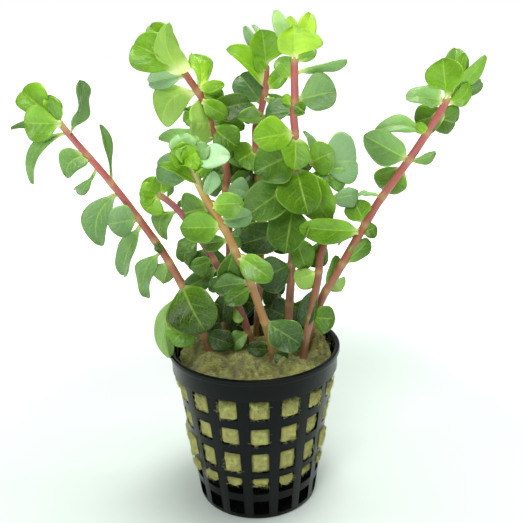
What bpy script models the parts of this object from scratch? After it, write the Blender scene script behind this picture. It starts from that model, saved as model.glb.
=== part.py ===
"""Potted rotala: a net pot, the growing wool in it and eight leafy shoots.

Sizes are millimetres in the tables and metres in the scene. The origin is the
centre of the pot's underside, +Z is up and the front is -Y.
"""

import math
from dataclasses import dataclass

import bmesh
import bpy
from mathutils import Vector

MM = 0.001
GAP = 0.3

# Net pot: a 5 cm round pot with a collar and rows of windows.
POT_HEIGHT = 48.1
RIM_RADIUS = 25.0
LIP_INNER_RADIUS = 24.0
LIP_DROP = 1.3
COLLAR_RADIUS = 24.3
COLLAR_BOTTOM = 41.5
BODY_RADIUS_TOP = 23.2
BODY_RADIUS_BOTTOM = 17.8
WALL = 0.9
FLOOR = 1.2
FOOT_BEVEL = 0.5
LIP_BEVEL = 0.3
LIP_UNDERSIDE = 0.5
COLLAR_SLOPE = 1.5
POT_STEPS = 32
WINDOW_COLUMNS = 16
WINDOW_PHASE = 2.2
WINDOW_ANGLE = 14.0
WINDOW_ROWS = ((1.6, 6.5), (9.1, 14.9), (16.8, 23.5), (26.2, 31.9), (34.7, 40.9))

# Growing wool: fills the pot from its ragged underside to just under the rim.
WOOL_BOTTOM = 12.0
WOOL_TOP = 45.2
WOOL_CLEARANCE = 0.4
WOOL_SIDES = 16
WOOL_RINGS = 8
SOCKET_SIDES = 6
# Half of the sphere's rings make the side, a quarter the top and a quarter the underside.
WOOL_SIDE_SHARE = 0.5
WOOL_DOME = 2.0
WOOL_RAGS = ((0.9, 5, 0.0), (0.6, 9, 1.0))
SOCKET_DEPTH = 9.0
# A socket has flat sides, which lie nearer the stem than its corners do.
SOCKET_SLACK = 0.3
# Raised clumps of wool: x, y, height and spread.
WOOL_CLUMPS = ((-14.5, 6.0, 4.0, 4.0), (18.0, 3.0, 5.0, 4.0), (2.0, -16.0, 1.2, 9.0))

# The plant is laid out as seen from this point in front of it. A place is
# given as x and z on the upright plane through the pot's axis, and a depth y
# that moves it along the line of sight.
VIEWER = Vector((0.0, -189.3, 133.0))

STEM_SIDES_RESOLUTION = 1
# Half the length over which a stem's direction is taken.
STEM_STEP = 0.5
# A leaf that runs nearly along its stem starts no farther out than this allows.
LEAST_LEAN = 0.45
LEAF_THICKNESS = 0.36
LEAF_GAP = 0.45
LEAF_RINGS = 5
SMALL_LEAF_RINGS = 4
# A leaf narrower than this gets one ring fewer.
NARROW_LEAF = 4.0
LEAF_WIDEST = 0.56
LEAF_FULLNESS = 0.46


@dataclass(frozen=True)
class Leaf:
    """A leaf: the height of its node, its tip as seen, and its blade.

    depth is how far the tip lies behind the node, roll turns the blade about
    its midrib (0 shows the upper side, 180 the underside), arch and sweep bow
    the midrib out of and within the blade, and cup lifts the two edges.
    """

    node: float
    tip_x: float
    tip_z: float
    depth: float
    width: float
    roll: float = 0.0
    arch: float = 0.0
    sweep: float = 0.0
    cup: float = 0.15


@dataclass(frozen=True)
class Shoot:
    """A stem from the wool to its tip, with free leaves and fused small ones."""

    name: str
    route: tuple
    depths: tuple
    radii: tuple
    leaves: tuple
    small_leaves: tuple


SHOOTS = (
    Shoot(
        "far_left",
        route=(
            (-12.7, 44.5), (-14.4, 50.0), (-16.8, 57.0), (-19.9, 66.0), (-22.6, 71.8),
            (-25.4, 77.3), (-29.9, 84.6), (-34.7, 92.1), (-39.6, 99.2), (-46.3, 107.9),
            (-50.5, 113.8),
        ),
        depths=(-3.0, -9.0),
        radii=(1.3, 0.75),
        leaves=(
            Leaf(112.9, -59.3, 113.2, -3.0, 8.5),
            Leaf(109.8, -43.1, 123.7, -2.0, 5.5, 50.0, sweep=1.0),
            Leaf(109.0, -59.5, 96.8, -4.0, 6.0, 60.0, arch=4.0),
            Leaf(103.5, -50.2, 98.4, -3.0, 5.5, 60.0, arch=4.5),
            Leaf(94.0, -42.7, 78.9, -4.0, 6.5, 15.0, sweep=2.5),
            Leaf(86.5, -39.5, 85.0, -5.0, 8.0),
            Leaf(85.0, -37.0, 69.7, 4.0, 5.5, 40.0),
            Leaf(77.0, -31.0, 63.0, -2.0, 5.5, 35.0, sweep=2.5),
            Leaf(66.8, -14.2, 51.8, -7.0, 13.5, arch=1.5, cup=0.0),
            Leaf(64.0, -26.6, 44.0, -7.0, 6.0, 150.0, sweep=-1.5),
            Leaf(58.0, -9.6, 56.5, 2.0, 5.5),
            Leaf(56.0, -24.2, 48.6, -1.0, 8.5, cup=0.0),
        ),
        small_leaves=(
            Leaf(113.2, -59.2, 118.7, 3.0, 5.5),
            Leaf(112.9, -57.5, 122.5, 0.5, 4.0, 40.0, arch=1.5),
            Leaf(112.6, -51.3, 119.4, -1.5, 3.5),
            Leaf(112.3, -63.2, 112.0, 3.0, 3.0, 55.0),
            Leaf(100.0, -48.4, 94.3, 3.0, 4.0, 60.0, arch=2.0),
            Leaf(96.5, -39.1, 112.4, 2.0, 5.0, 75.0, arch=1.0),
            Leaf(80.0, -25.5, 76.5, -2.5, 2.0),
            Leaf(73.5, -25.5, 67.5, 4.0, 7.0, 180.0),
            Leaf(51.0, -6.5, 47.5, -1.0, 4.5),
        ),
    ),
    Shoot(
        "low_left",
        route=(
            (-0.4, 45.0), (-0.9, 47.5), (-1.9, 52.0), (-3.2, 57.0), (-6.8, 65.0),
            (-9.2, 70.8), (-14.0, 79.5), (-19.3, 87.6), (-21.3, 90.2), (-23.2, 91.6),
            (-25.6, 93.4),
        ),
        depths=(2.0, -6.0),
        radii=(1.1, 0.75),
        leaves=(),
        small_leaves=(
            Leaf(93.0, -30.3, 93.4, -1.5, 6.0),
            Leaf(92.8, -28.9, 88.3, -1.5, 6.6),
            Leaf(92.6, -24.2, 98.4, -1.5, 6.6),
            Leaf(92.4, -29.0, 96.8, -0.5, 5.4),
            Leaf(91.4, -21.0, 97.8, 1.0, 3.0, 65.0),
            Leaf(88.5, -24.5, 80.3, -1.0, 5.4, 20.0, sweep=3.0),
            Leaf(88.6, -19.0, 91.2, 0.5, 1.4),
            Leaf(81.0, -19.3, 73.0, 1.0, 5.0),
            Leaf(77.5, -16.6, 70.6, 3.0, 5.5),
            Leaf(72.0, -19.3, 67.3, 2.0, 6.0),
            Leaf(69.5, -12.2, 64.2, -1.5, 3.0),
            Leaf(66.0, -9.0, 54.5, 2.0, 6.0),
            Leaf(60.0, -4.5, 54.3, -1.5, 3.2, 180.0),
            Leaf(51.5, -7.2, 46.5, -3.0, 4.5, arch=1.0),
        ),
    ),
    Shoot(
        "upper_left",
        route=(
            (-9.0, 45.0), (-8.6, 52.0), (-7.3, 65.0), (-6.2, 75.5), (-6.2, 84.0),
            (-6.8, 93.6), (-5.9, 98.0), (-6.4, 101.2), (-8.2, 107.4), (-9.7, 110.5),
            (-10.8, 114.5), (-12.0, 118.9), (-14.9, 123.0), (-17.0, 126.5),
        ),
        depths=(5.0, 9.0),
        radii=(1.2, 0.8),
        leaves=(
            Leaf(126.0, -29.6, 133.2, -1.0, 10.0, 15.0),
            Leaf(125.6, -20.2, 137.2, -2.0, 7.4, 180.0),
            Leaf(121.0, -22.5, 111.8, -2.0, 10.0, 25.0, sweep=4.6),
            Leaf(120.0, -13.6, 129.8, 4.5, 5.2, 20.0),
            Leaf(115.0, 0.5, 117.2, -2.0, 6.5),
            Leaf(111.7, -15.3, 112.3, -7.0, 12.5, 180.0),
            Leaf(108.5, -24.1, 108.4, -2.0, 5.0, 40.0),
        ),
        small_leaves=(
            Leaf(126.2, -24.5, 137.0, 3.0, 6.0),
            Leaf(124.5, -26.8, 124.3, 3.0, 4.2, 180.0),
            Leaf(120.6, -6.0, 121.9, -2.0, 2.8),
            Leaf(120.0, -6.3, 117.8, 2.0, 4.0),
            Leaf(117.5, -17.0, 112.0, 2.5, 3.5),
            Leaf(112.5, -0.8, 110.6, 2.0, 3.5),
            Leaf(111.0, -3.0, 105.4, -2.0, 7.8),
            Leaf(109.3, -17.0, 116.0, 2.0, 4.8, 60.0),
            Leaf(101.5, -1.0, 103.5, 3.0, 6.6),
            Leaf(98.0, -12.0, 93.5, 3.0, 6.0),
            Leaf(96.5, 1.5, 96.5, 3.0, 5.4),
            Leaf(94.3, -0.5, 93.0, -3.0, 6.0, 180.0),
            Leaf(74.0, -13.5, 73.0, 2.0, 6.0),
            Leaf(66.0, -1.5, 62.0, 2.0, 7.2),
            Leaf(58.0, -3.0, 54.5, 2.0, 7.2),
            Leaf(56.0, -14.5, 53.5, 2.0, 7.2),
            Leaf(51.5, -3.0, 50.0, 1.0, 4.5),
        ),
    ),
    Shoot(
        "front",
        route=(
            (5.5, 42.5), (5.3, 45.5), (4.5, 49.6), (3.4, 53.8), (2.2, 57.5),
            (0.8, 62.3), (-0.4, 66.3), (-1.8, 70.2), (-4.4, 75.5), (-7.0, 82.0),
            (-10.5, 88.0), (-12.8, 92.7), (-14.4, 96.6), (-15.3, 99.6), (-16.5, 103.5),
        ),
        depths=(-8.0, -20.0),
        radii=(1.15, 0.8),
        leaves=(
            Leaf(94.8, -23.9, 101.3, -4.5, 4.5, 40.0),
            Leaf(89.6, -2.0, 90.0, -3.0, 5.6),
            Leaf(89.0, -18.8, 88.3, 4.0, 7.0),
            Leaf(83.3, -18.9, 83.4, -1.5, 6.5),
            Leaf(75.0, 5.4, 67.4, -5.0, 6.0),
            Leaf(65.2, -8.0, 60.8, -3.5, 4.2),
            Leaf(54.6, 13.8, 46.8, -3.0, 8.0),
        ),
        small_leaves=(
            Leaf(102.8, -18.7, 109.2, 0.0, 6.0),
            Leaf(102.5, -21.0, 104.3, -3.0, 4.8),
            Leaf(102.2, -13.0, 107.5, 2.0, 4.8),
            Leaf(101.9, -5.2, 103.3, -1.0, 5.4, -20.0),
            Leaf(101.6, -16.5, 106.0, -3.5, 3.5),
            Leaf(101.3, -12.5, 100.5, -3.0, 3.5),
            Leaf(98.0, -25.2, 101.0, 4.0, 7.8),
            Leaf(96.4, -10.6, 101.8, 1.0, 2.6),
            Leaf(91.6, -9.7, 98.8, -2.0, 3.6, 20.0),
            Leaf(85.0, 0.3, 86.5, 2.0, 4.8, 150.0),
            Leaf(80.5, -2.8, 80.5, 3.0, 5.4),
            Leaf(79.5, -13.9, 78.4, 3.0, 3.8),
            Leaf(77.0, -8.3, 66.0, 8.0, 5.4),
            Leaf(66.8, -11.0, 65.5, 1.5, 6.6),
            Leaf(45.5, -2.0, 45.8, -1.0, 3.6),
        ),
    ),
    Shoot(
        "far_right",
        route=(
            (15.0, 44.0), (16.2, 51.0), (17.8, 56.5), (20.7, 63.0), (24.2, 68.8),
            (28.4, 76.6), (31.5, 82.0), (35.2, 88.8), (39.7, 95.2), (44.8, 102.6),
            (48.6, 108.6), (51.1, 112.7), (53.5, 117.6),
        ),
        depths=(0.0, 2.0),
        radii=(1.2, 0.75),
        leaves=(
            Leaf(117.0, 51.2, 127.0, -3.0, 9.0),
            Leaf(115.9, 42.2, 117.6, -2.0, 5.5, 30.0),
            Leaf(100.6, 31.2, 107.6, -3.0, 8.0),
            Leaf(99.0, 36.0, 91.0, 6.0, 9.0, cup=-0.1),
            Leaf(82.8, 28.8, 89.7, 3.0, 7.0),
            Leaf(81.0, 13.8, 82.6, -7.0, 6.6),
        ),
        small_leaves=(
            Leaf(117.3, 54.8, 129.6, 2.5, 5.5),
            Leaf(116.7, 62.9, 127.4, 0.0, 3.0, 40.0),
            Leaf(116.4, 62.2, 121.0, 3.0, 4.5),
            Leaf(115.5, 58.8, 120.4, -1.5, 4.2, sweep=1.5),
            Leaf(112.3, 45.0, 110.5, 3.0, 6.5),
            Leaf(111.9, 55.2, 111.5, 3.0, 7.0),
            Leaf(107.9, 34.0, 108.7, 2.0, 4.5, 30.0, sweep=1.5),
            Leaf(107.2, 45.4, 110.4, -1.5, 2.8),
            Leaf(100.3, 51.0, 102.4, 1.0, 4.0, 60.0),
            Leaf(90.8, 29.8, 91.7, 0.0, 3.0, 60.0),
            Leaf(80.5, 34.5, 82.0, -1.0, 3.4),
            Leaf(79.9, 24.2, 77.4, 2.0, 2.2, 60.0),
            Leaf(71.5, 32.9, 77.1, 1.0, 4.2, 20.0),
            Leaf(67.0, 25.2, 63.5, 2.0, 5.5, 180.0),
            Leaf(63.5, 24.3, 73.9, 1.0, 4.0, 45.0),
        ),
    ),
    Shoot(
        "right",
        route=(
            (14.4, 42.2), (14.6, 45.0), (15.3, 49.2), (16.2, 53.6), (17.0, 57.8),
            (17.8, 62.3), (18.8, 67.5), (19.3, 73.5), (20.5, 78.0), (22.2, 85.5),
            (21.8, 90.0), (20.0, 96.0), (17.5, 102.0),
        ),
        depths=(-7.0, 4.0),
        radii=(1.4, 0.9),
        leaves=(
            Leaf(101.3, 22.9, 103.6, -3.5, 8.0),
            Leaf(100.2, 29.4, 100.8, 4.0, 13.0),
            Leaf(55.4, 23.7, 56.3, -2.0, 7.5),
        ),
        small_leaves=(
            Leaf(100.8, 14.5, 109.3, 1.0, 3.0, 70.0),
            Leaf(96.0, 26.5, 96.3, 1.5, 6.0),
            Leaf(90.5, 30.0, 91.8, 1.0, 5.5, 30.0),
            Leaf(79.5, 16.2, 71.0, 3.0, 6.0),
            Leaf(69.3, 12.0, 66.8, -1.5, 6.0, 180.0),
            Leaf(65.3, 14.6, 52.3, 1.5, 5.4),
        ),
    ),
    Shoot(
        "tall",
        route=(
            (9.8, 45.0), (9.9, 50.0), (10.2, 56.0), (11.0, 67.0), (11.6, 78.0),
            (12.0, 88.0), (12.7, 99.0), (12.6, 108.5), (12.3, 111.5), (12.1, 114.0),
            (12.6, 117.0), (12.5, 120.2), (12.5, 128.8),
        ),
        depths=(3.0, 0.0),
        radii=(1.2, 0.85),
        leaves=(
            Leaf(128.0, 12.6, 135.8, -3.5, 11.0, cup=0.3),
            Leaf(123.2, 26.4, 125.0, 1.0, 5.0, 50.0),
            Leaf(117.2, 23.5, 119.4, -2.0, 9.0),
            Leaf(108.8, 1.5, 109.3, -5.0, 7.0),
            Leaf(108.0, 12.3, 100.0, -6.0, 5.5),
            Leaf(103.5, 2.2, 99.2, -4.0, 7.5),
            Leaf(99.0, 16.0, 86.3, -7.0, 10.0),
            Leaf(95.5, -1.0, 86.4, -6.0, 9.8),
            Leaf(89.0, 9.6, 75.2, -8.0, 10.0),
            Leaf(82.0, -3.6, 78.0, 1.0, 8.5),
            Leaf(72.0, 1.3, 67.0, -2.0, 10.0),
        ),
        small_leaves=(
            Leaf(127.7, 7.8, 139.9, 1.0, 4.0),
            Leaf(127.4, 17.0, 139.0, 3.0, 4.2),
            Leaf(127.1, 11.2, 138.4, 2.0, 2.6),
            Leaf(126.8, 17.8, 131.0, 1.0, 3.0),
            Leaf(122.6, 8.0, 128.0, 1.0, 5.0),
            Leaf(117.0, 14.8, 114.2, -2.0, 2.6),
            Leaf(116.6, 9.0, 118.2, 1.0, 2.0),
            Leaf(114.5, 4.6, 113.8, -2.0, 6.2, 30.0),
            Leaf(98.4, 20.8, 85.0, -3.0, 9.6),
            Leaf(81.0, 15.4, 70.2, -2.0, 6.0),
            Leaf(60.0, 15.5, 57.0, 3.0, 7.2),
            Leaf(55.5, 4.5, 58.5, 2.0, 6.6),
            Leaf(51.0, 12.8, 45.5, -4.0, 5.0),
        ),
    ),
    Shoot(
        "middle",
        route=(
            (0.5, 47.0), (1.2, 56.0), (2.0, 65.0), (2.6, 75.0), (2.5, 84.5),
            (2.3, 95.0), (1.8, 105.0), (1.8, 111.0), (3.6, 114.8), (4.3, 118.0),
            (5.0, 121.0), (5.2, 126.8),
        ),
        depths=(9.0, 12.0),
        radii=(1.1, 0.8),
        leaves=(
            Leaf(126.0, 4.2, 135.2, -2.5, 7.2),
            Leaf(120.6, -4.8, 130.9, -2.0, 5.5, 30.0),
            Leaf(116.5, -1.8, 124.3, 3.0, 7.5),
            Leaf(104.5, -2.4, 102.8, -3.0, 8.4),
        ),
        small_leaves=(
            Leaf(126.2, 2.0, 136.6, 2.0, 3.0, 40.0, arch=1.0),
            Leaf(125.8, -0.3, 136.2, 1.0, 2.5),
            Leaf(124.5, 2.5, 128.5, -4.0, 3.0),
            Leaf(120.2, 10.4, 124.8, 0.0, 4.0),
            Leaf(119.5, 9.6, 117.8, -1.0, 3.0, 40.0),
            Leaf(114.0, -2.0, 115.0, -1.0, 5.4),
            Leaf(113.5, 7.0, 111.8, -1.0, 3.0),
            Leaf(78.0, 9.5, 80.0, 3.0, 7.2),
            Leaf(72.0, -4.5, 70.0, 2.0, 7.2),
            Leaf(66.0, 8.5, 62.5, 2.0, 7.2),
            Leaf(60.0, -5.5, 62.0, 2.0, 7.2),
            Leaf(57.0, 6.8, 52.5, 1.0, 7.2),
            Leaf(53.5, 7.6, 51.5, -1.0, 5.0),
        ),
    ),
)


def clear_scene():
    for obj in list(bpy.data.objects):
        bpy.data.objects.remove(obj, do_unlink=True)


def new_collection(name):
    collection = bpy.data.collections.new(name)
    bpy.context.scene.collection.children.link(collection)
    return collection


def make_material(name, color, roughness, subsurface=0.0):
    material = bpy.data.materials.new(name)
    material.use_nodes = True
    shader = material.node_tree.nodes["Principled BSDF"]
    shader.inputs["Base Color"].default_value = (*color, 1.0)
    shader.inputs["Roughness"].default_value = roughness
    shader.inputs["Metallic"].default_value = 0.0
    shader.inputs["Subsurface Weight"].default_value = subsurface
    return material


def add_object(name, mesh, collection, material):
    obj = bpy.data.objects.new(name, mesh)
    mesh.materials.append(material)
    collection.objects.link(obj)
    return obj


def as_guide(obj):
    """A cutter or a joined shape stays out of the finished part."""
    obj.hide_render = True
    obj.display_type = "WIRE"


def placed(x, z, depth):
    """The point seen at x and z on the axis plane, moved along the line of sight to a depth."""
    seen = Vector((x, 0.0, z))
    return VIEWER + (seen - VIEWER) * ((depth - VIEWER.y) / -VIEWER.y)


def route_point(shoot, height):
    """Where the stem's centre line is at a seen height."""
    route = shoot.route
    low, high = route[0][1], route[-1][1]
    for (x0, z0), (x1, z1) in zip(route, route[1:]):
        if height <= z1:
            break
    share = (height - z0) / (z1 - z0)
    depth = shoot.depths[0] + (shoot.depths[1] - shoot.depths[0]) * (height - low) / (high - low)
    return placed(x0 + (x1 - x0) * share, height, depth)


def stem_direction(shoot, height):
    """Unit vector along the stem at a seen height."""
    low, high = shoot.route[0][1], shoot.route[-1][1]
    below = route_point(shoot, max(height - STEM_STEP, low))
    above = route_point(shoot, min(height + STEM_STEP, high))
    return (above - below).normalized()


def stem_radius(shoot, height):
    low, high = shoot.route[0][1], shoot.route[-1][1]
    share = (height - low) / (high - low)
    return shoot.radii[0] + (shoot.radii[1] - shoot.radii[0]) * share


def outline(t):
    """Half width of a leaf along its midrib, as a share of the widest."""
    eased = t ** (math.log(0.5) / math.log(LEAF_WIDEST))
    return max(math.sin(math.pi * eased), 0.0) ** LEAF_FULLNESS


def leaf_mesh(name, leaf, shoot, free):
    """A thin closed blade: a four-sided sphere whose poles are the base and the tip."""
    node = route_point(shoot, leaf.node)
    node_depth = node.y
    tip = placed(leaf.tip_x, leaf.tip_z, node_depth + leaf.depth)
    axis = (tip - node).normalized()
    start = node
    if free:
        lean = axis.cross(stem_direction(shoot, leaf.node)).length
        start = node + axis * ((stem_radius(shoot, leaf.node) + LEAF_GAP) / max(lean, LEAST_LEAN))
    view = (VIEWER - (node + tip) / 2).normalized()
    facing = (view - axis * view.dot(axis)).normalized()
    beside = axis.cross(facing)
    roll = math.radians(leaf.roll)
    normal = facing * math.cos(roll) + beside * math.sin(roll)
    side = beside * math.cos(roll) - facing * math.sin(roll)
    mesh = bpy.data.meshes.new(name)
    shape = bmesh.new()
    rings = LEAF_RINGS if free else SMALL_LEAF_RINGS - (leaf.width < NARROW_LEAF)
    bmesh.ops.create_uvsphere(shape, u_segments=4, v_segments=rings, radius=1.0)
    for vert in shape.verts:
        t = (1.0 - vert.co.z) / 2
        bow = 4 * t * (1 - t)
        half_width = leaf.width / 2 * outline(t)
        across = round(vert.co.x / max(math.hypot(vert.co.x, vert.co.y), 1e-6))
        through = round(vert.co.y / max(math.hypot(vert.co.x, vert.co.y), 1e-6))
        middle = start.lerp(tip, t) + normal * (leaf.arch * bow) + side * (leaf.sweep * bow)
        lift = leaf.cup * half_width * abs(across) + LEAF_THICKNESS / 2 * through * min(1.0, 2 * bow)
        vert.co = (middle + side * (half_width * across) + normal * lift) * MM
    shape.to_mesh(mesh)
    shape.free()
    return mesh


def add_stem(shoot, collection, material):
    """The stem as a tapered tube, made a mesh so that the small leaves can join it."""
    data = bpy.data.curves.new("stem_route", "CURVE")
    data.dimensions = "3D"
    data.bevel_depth = MM
    data.bevel_resolution = STEM_SIDES_RESOLUTION
    data.use_fill_caps = True
    foot = route_point(shoot, shoot.route[0][1])
    points = [foot - Vector((0.0, 0.0, SOCKET_DEPTH - 1.0))]
    points += [route_point(shoot, height) for _, height in shoot.route]
    heights = [shoot.route[0][1]] + [height for _, height in shoot.route]
    line = data.splines.new("POLY")
    line.points.add(len(points) - 1)
    for target, point, height in zip(line.points, points, heights):
        target.co = (*(point * MM), 1.0)
        target.radius = stem_radius(shoot, height)
    curve = bpy.data.objects.new("stem_route", data)
    collection.objects.link(curve)
    bpy.context.view_layer.update()
    evaluated = curve.evaluated_get(bpy.context.evaluated_depsgraph_get())
    mesh = bpy.data.meshes.new_from_object(evaluated)
    shape = bmesh.new()
    shape.from_mesh(mesh)
    bmesh.ops.remove_doubles(shape, verts=shape.verts, dist=0.00001)
    shape.to_mesh(mesh)
    shape.free()
    mesh.materials.clear()
    stem = add_object("stem_" + shoot.name, mesh, collection, material)
    stem.matrix_world = curve.matrix_world.copy()
    bpy.data.objects.remove(curve, do_unlink=True)
    return stem


def add_shoot(shoot, parts, guides, stem_material, leaf_material):
    stem = add_stem(shoot, parts, stem_material)
    joined = bpy.data.collections.new("small_leaves_" + shoot.name)
    guides.children.link(joined)
    for number, leaf in enumerate(shoot.small_leaves, start=1):
        name = f"small_leaf_{shoot.name}_{number}"
        as_guide(add_object(name, leaf_mesh(name, leaf, shoot, free=False), joined, leaf_material))
    union = stem.modifiers.new("small leaves", "BOOLEAN")
    union.operation = "UNION"
    union.operand_type = "COLLECTION"
    union.collection = joined
    union.solver = "EXACT"
    union.material_mode = "TRANSFER"
    for number, leaf in enumerate(shoot.leaves, start=1):
        name = f"leaf_{shoot.name}_{number}"
        add_object(name, leaf_mesh(name, leaf, shoot, free=True), parts, leaf_material)


def body_radius(z):
    """Outer radius of the pot's tapered wall."""
    share = z / COLLAR_BOTTOM
    return BODY_RADIUS_BOTTOM + (BODY_RADIUS_TOP - BODY_RADIUS_BOTTOM) * share


def add_pot(parts, guides, material):
    """The turned pot with its windows cut by bars that each cross the whole pot."""
    profile = (
        (0.0, FLOOR),
        (body_radius(FLOOR) - WALL, FLOOR),
        (BODY_RADIUS_TOP - WALL, COLLAR_BOTTOM),
        (COLLAR_RADIUS - WALL, COLLAR_BOTTOM + COLLAR_SLOPE),
        (LIP_INNER_RADIUS, POT_HEIGHT),
        (RIM_RADIUS - LIP_BEVEL, POT_HEIGHT),
        (RIM_RADIUS, POT_HEIGHT - LIP_BEVEL),
        (RIM_RADIUS, POT_HEIGHT - LIP_DROP),
        (COLLAR_RADIUS, POT_HEIGHT - LIP_DROP - LIP_UNDERSIDE),
        (COLLAR_RADIUS, COLLAR_BOTTOM),
        (BODY_RADIUS_TOP, COLLAR_BOTTOM),
        (body_radius(FOOT_BEVEL), FOOT_BEVEL),
        (BODY_RADIUS_BOTTOM - FOOT_BEVEL, 0.0),
        (0.0, 0.0),
    )
    mesh = bpy.data.meshes.new("net_pot")
    shape = bmesh.new()
    verts = [shape.verts.new((x * MM, 0.0, z * MM)) for x, z in profile]
    for first, second in zip(verts, verts[1:]):
        shape.edges.new((first, second))
    shape.to_mesh(mesh)
    shape.free()
    pot = add_object("net_pot", mesh, parts, material)
    turn = pot.modifiers.new("turned", "SCREW")
    turn.steps = turn.render_steps = POT_STEPS
    turn.use_merge_vertices = True
    turn.merge_threshold = 0.00001
    turn.use_normal_calculate = False
    bars = bpy.data.collections.new("window_bars")
    guides.children.link(bars)
    for bottom, top in WINDOW_ROWS:
        width = 2 * body_radius((bottom + top) / 2) * math.sin(math.radians(WINDOW_ANGLE / 2))
        for column in range(WINDOW_COLUMNS // 2):
            bar_mesh = bpy.data.meshes.new("window_bar")
            bar_shape = bmesh.new()
            bmesh.ops.create_cube(bar_shape, size=1.0)
            bmesh.ops.scale(
                bar_shape, vec=(width * MM, 3 * RIM_RADIUS * MM, (top - bottom) * MM),
                verts=bar_shape.verts,
            )
            bar_shape.to_mesh(bar_mesh)
            bar_shape.free()
            bar = bpy.data.objects.new("window_bar", bar_mesh)
            bar.location = (0.0, 0.0, (bottom + top) / 2 * MM)
            bar.rotation_euler.z = math.radians(WINDOW_PHASE + column * 360 / WINDOW_COLUMNS)
            bars.objects.link(bar)
            as_guide(bar)
    cut = pot.modifiers.new("windows", "BOOLEAN")
    cut.operation = "DIFFERENCE"
    cut.operand_type = "COLLECTION"
    cut.collection = bars
    cut.solver = "EXACT"
    return pot


def wool_top(x, y):
    """Height of the wool's upper face, with its raised clumps."""
    height = WOOL_TOP - WOOL_DOME * (math.hypot(x, y) / LIP_INNER_RADIUS) ** 4
    for clump_x, clump_y, rise, spread in WOOL_CLUMPS:
        away = math.hypot(x - clump_x, y - clump_y) / spread
        height += rise * math.exp(-away * away)
    return height


def add_wool(parts, guides, material):
    """A sphere's rings laid out as the plug's top, side and underside."""
    mesh = bpy.data.meshes.new("growing_wool")
    shape = bmesh.new()
    bmesh.ops.create_uvsphere(shape, u_segments=WOOL_SIDES, v_segments=WOOL_RINGS, radius=1.0)
    for vert in shape.verts:
        angle = math.atan2(vert.co.y, vert.co.x)
        level = 1 - 2 * math.acos(max(-1.0, min(1.0, vert.co.z))) / math.pi
        radius_share = min(1.0, (1 - abs(level)) / (1 - WOOL_SIDE_SHARE))
        fall = min(1.0, max(0.0, (WOOL_SIDE_SHARE - level) / (2 * WOOL_SIDE_SHARE)))
        ragged = sum(size * math.sin(waves * angle + turn) for size, waves, turn in WOOL_RAGS)
        bottom = WOOL_BOTTOM + ragged * radius_share
        edge = WOOL_TOP + (bottom - WOOL_TOP) * fall
        radius = (body_radius(min(edge, COLLAR_BOTTOM)) - WALL - WOOL_CLEARANCE) * radius_share
        x, y = radius * math.cos(angle), radius * math.sin(angle)
        top = wool_top(x, y)
        vert.co = Vector((x, y, top + (bottom - top) * fall)) * MM
    shape.to_mesh(mesh)
    shape.free()
    wool = add_object("growing_wool", mesh, parts, material)
    sockets = bpy.data.collections.new("stem_sockets")
    guides.children.link(sockets)
    for shoot in SHOOTS:
        foot = route_point(shoot, shoot.route[0][1])
        socket_mesh = bpy.data.meshes.new("stem_socket")
        socket_shape = bmesh.new()
        radius = (shoot.radii[0] + GAP + SOCKET_SLACK) * MM
        bmesh.ops.create_cone(
            socket_shape, cap_ends=True, segments=SOCKET_SIDES, radius1=radius, radius2=radius,
            depth=4 * SOCKET_DEPTH * MM,
        )
        socket_shape.to_mesh(socket_mesh)
        socket_shape.free()
        socket = bpy.data.objects.new("stem_socket", socket_mesh)
        socket.location = (foot + Vector((0.0, 0.0, SOCKET_DEPTH))) * MM
        sockets.objects.link(socket)
        as_guide(socket)
    cut = wool.modifiers.new("sockets", "BOOLEAN")
    cut.operation = "DIFFERENCE"
    cut.operand_type = "COLLECTION"
    cut.collection = sockets
    cut.solver = "EXACT"
    return wool


def build():
    clear_scene()
    parts = new_collection("potted_rotala")
    guides = new_collection("guides")
    black = make_material("pot_plastic", (0.02, 0.025, 0.026), 0.42)
    straw = make_material("wool", (0.42, 0.40, 0.14), 0.95)
    pink = make_material("stem_skin", (0.50, 0.20, 0.13), 0.45)
    green = make_material("leaf", (0.16, 0.36, 0.05), 0.4, 0.1)
    add_pot(parts, guides, black)
    add_wool(parts, guides, straw)
    for shoot in SHOOTS:
        add_shoot(shoot, parts, guides, pink, green)
    bpy.context.view_layer.update()


if __name__ == "__main__":
    build()
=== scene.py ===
"""Potted rotala mexicana: the dressed plant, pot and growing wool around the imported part.

Sizes are millimetres in the tables and metres in the scene. The origin is the centre of the
pot's underside, +Z is up and the front is -Y.
"""

import logging
import math
import random
from dataclasses import dataclass, field
from enum import Enum

import bmesh
import bpy
from mathutils import Matrix, Vector, noise


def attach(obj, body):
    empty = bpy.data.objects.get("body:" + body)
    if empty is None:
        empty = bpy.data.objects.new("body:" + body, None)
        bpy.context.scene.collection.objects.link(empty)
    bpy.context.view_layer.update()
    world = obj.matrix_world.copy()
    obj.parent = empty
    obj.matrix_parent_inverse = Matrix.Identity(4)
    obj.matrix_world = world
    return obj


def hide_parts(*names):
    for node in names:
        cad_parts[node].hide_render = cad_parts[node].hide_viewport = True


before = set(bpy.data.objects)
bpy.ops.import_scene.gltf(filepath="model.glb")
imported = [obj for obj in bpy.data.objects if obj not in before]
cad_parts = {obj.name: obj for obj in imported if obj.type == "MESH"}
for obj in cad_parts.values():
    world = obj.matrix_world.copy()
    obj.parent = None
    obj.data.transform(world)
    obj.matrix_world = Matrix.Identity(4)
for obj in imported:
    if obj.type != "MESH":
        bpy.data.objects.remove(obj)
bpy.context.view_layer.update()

LOG = logging.getLogger("potted_rotala")
MM = 0.001
# The plant is laid out as seen from this point in front of it: a place is x and z on the
# upright plane through the pot's axis, and a depth y that moves it along the line of sight.
VIEWER = Vector((0.0, -189.3, 133.0))

Socket = bpy.types.NodeSocket
Colour = tuple[float, float, float]


class Tint(Enum):
    """The named colourings of a stem's skin."""

    ROSE = "rose"
    BROWN = "brown"
    OCHRE = "ochre"
    MAUVE = "mauve"


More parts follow.
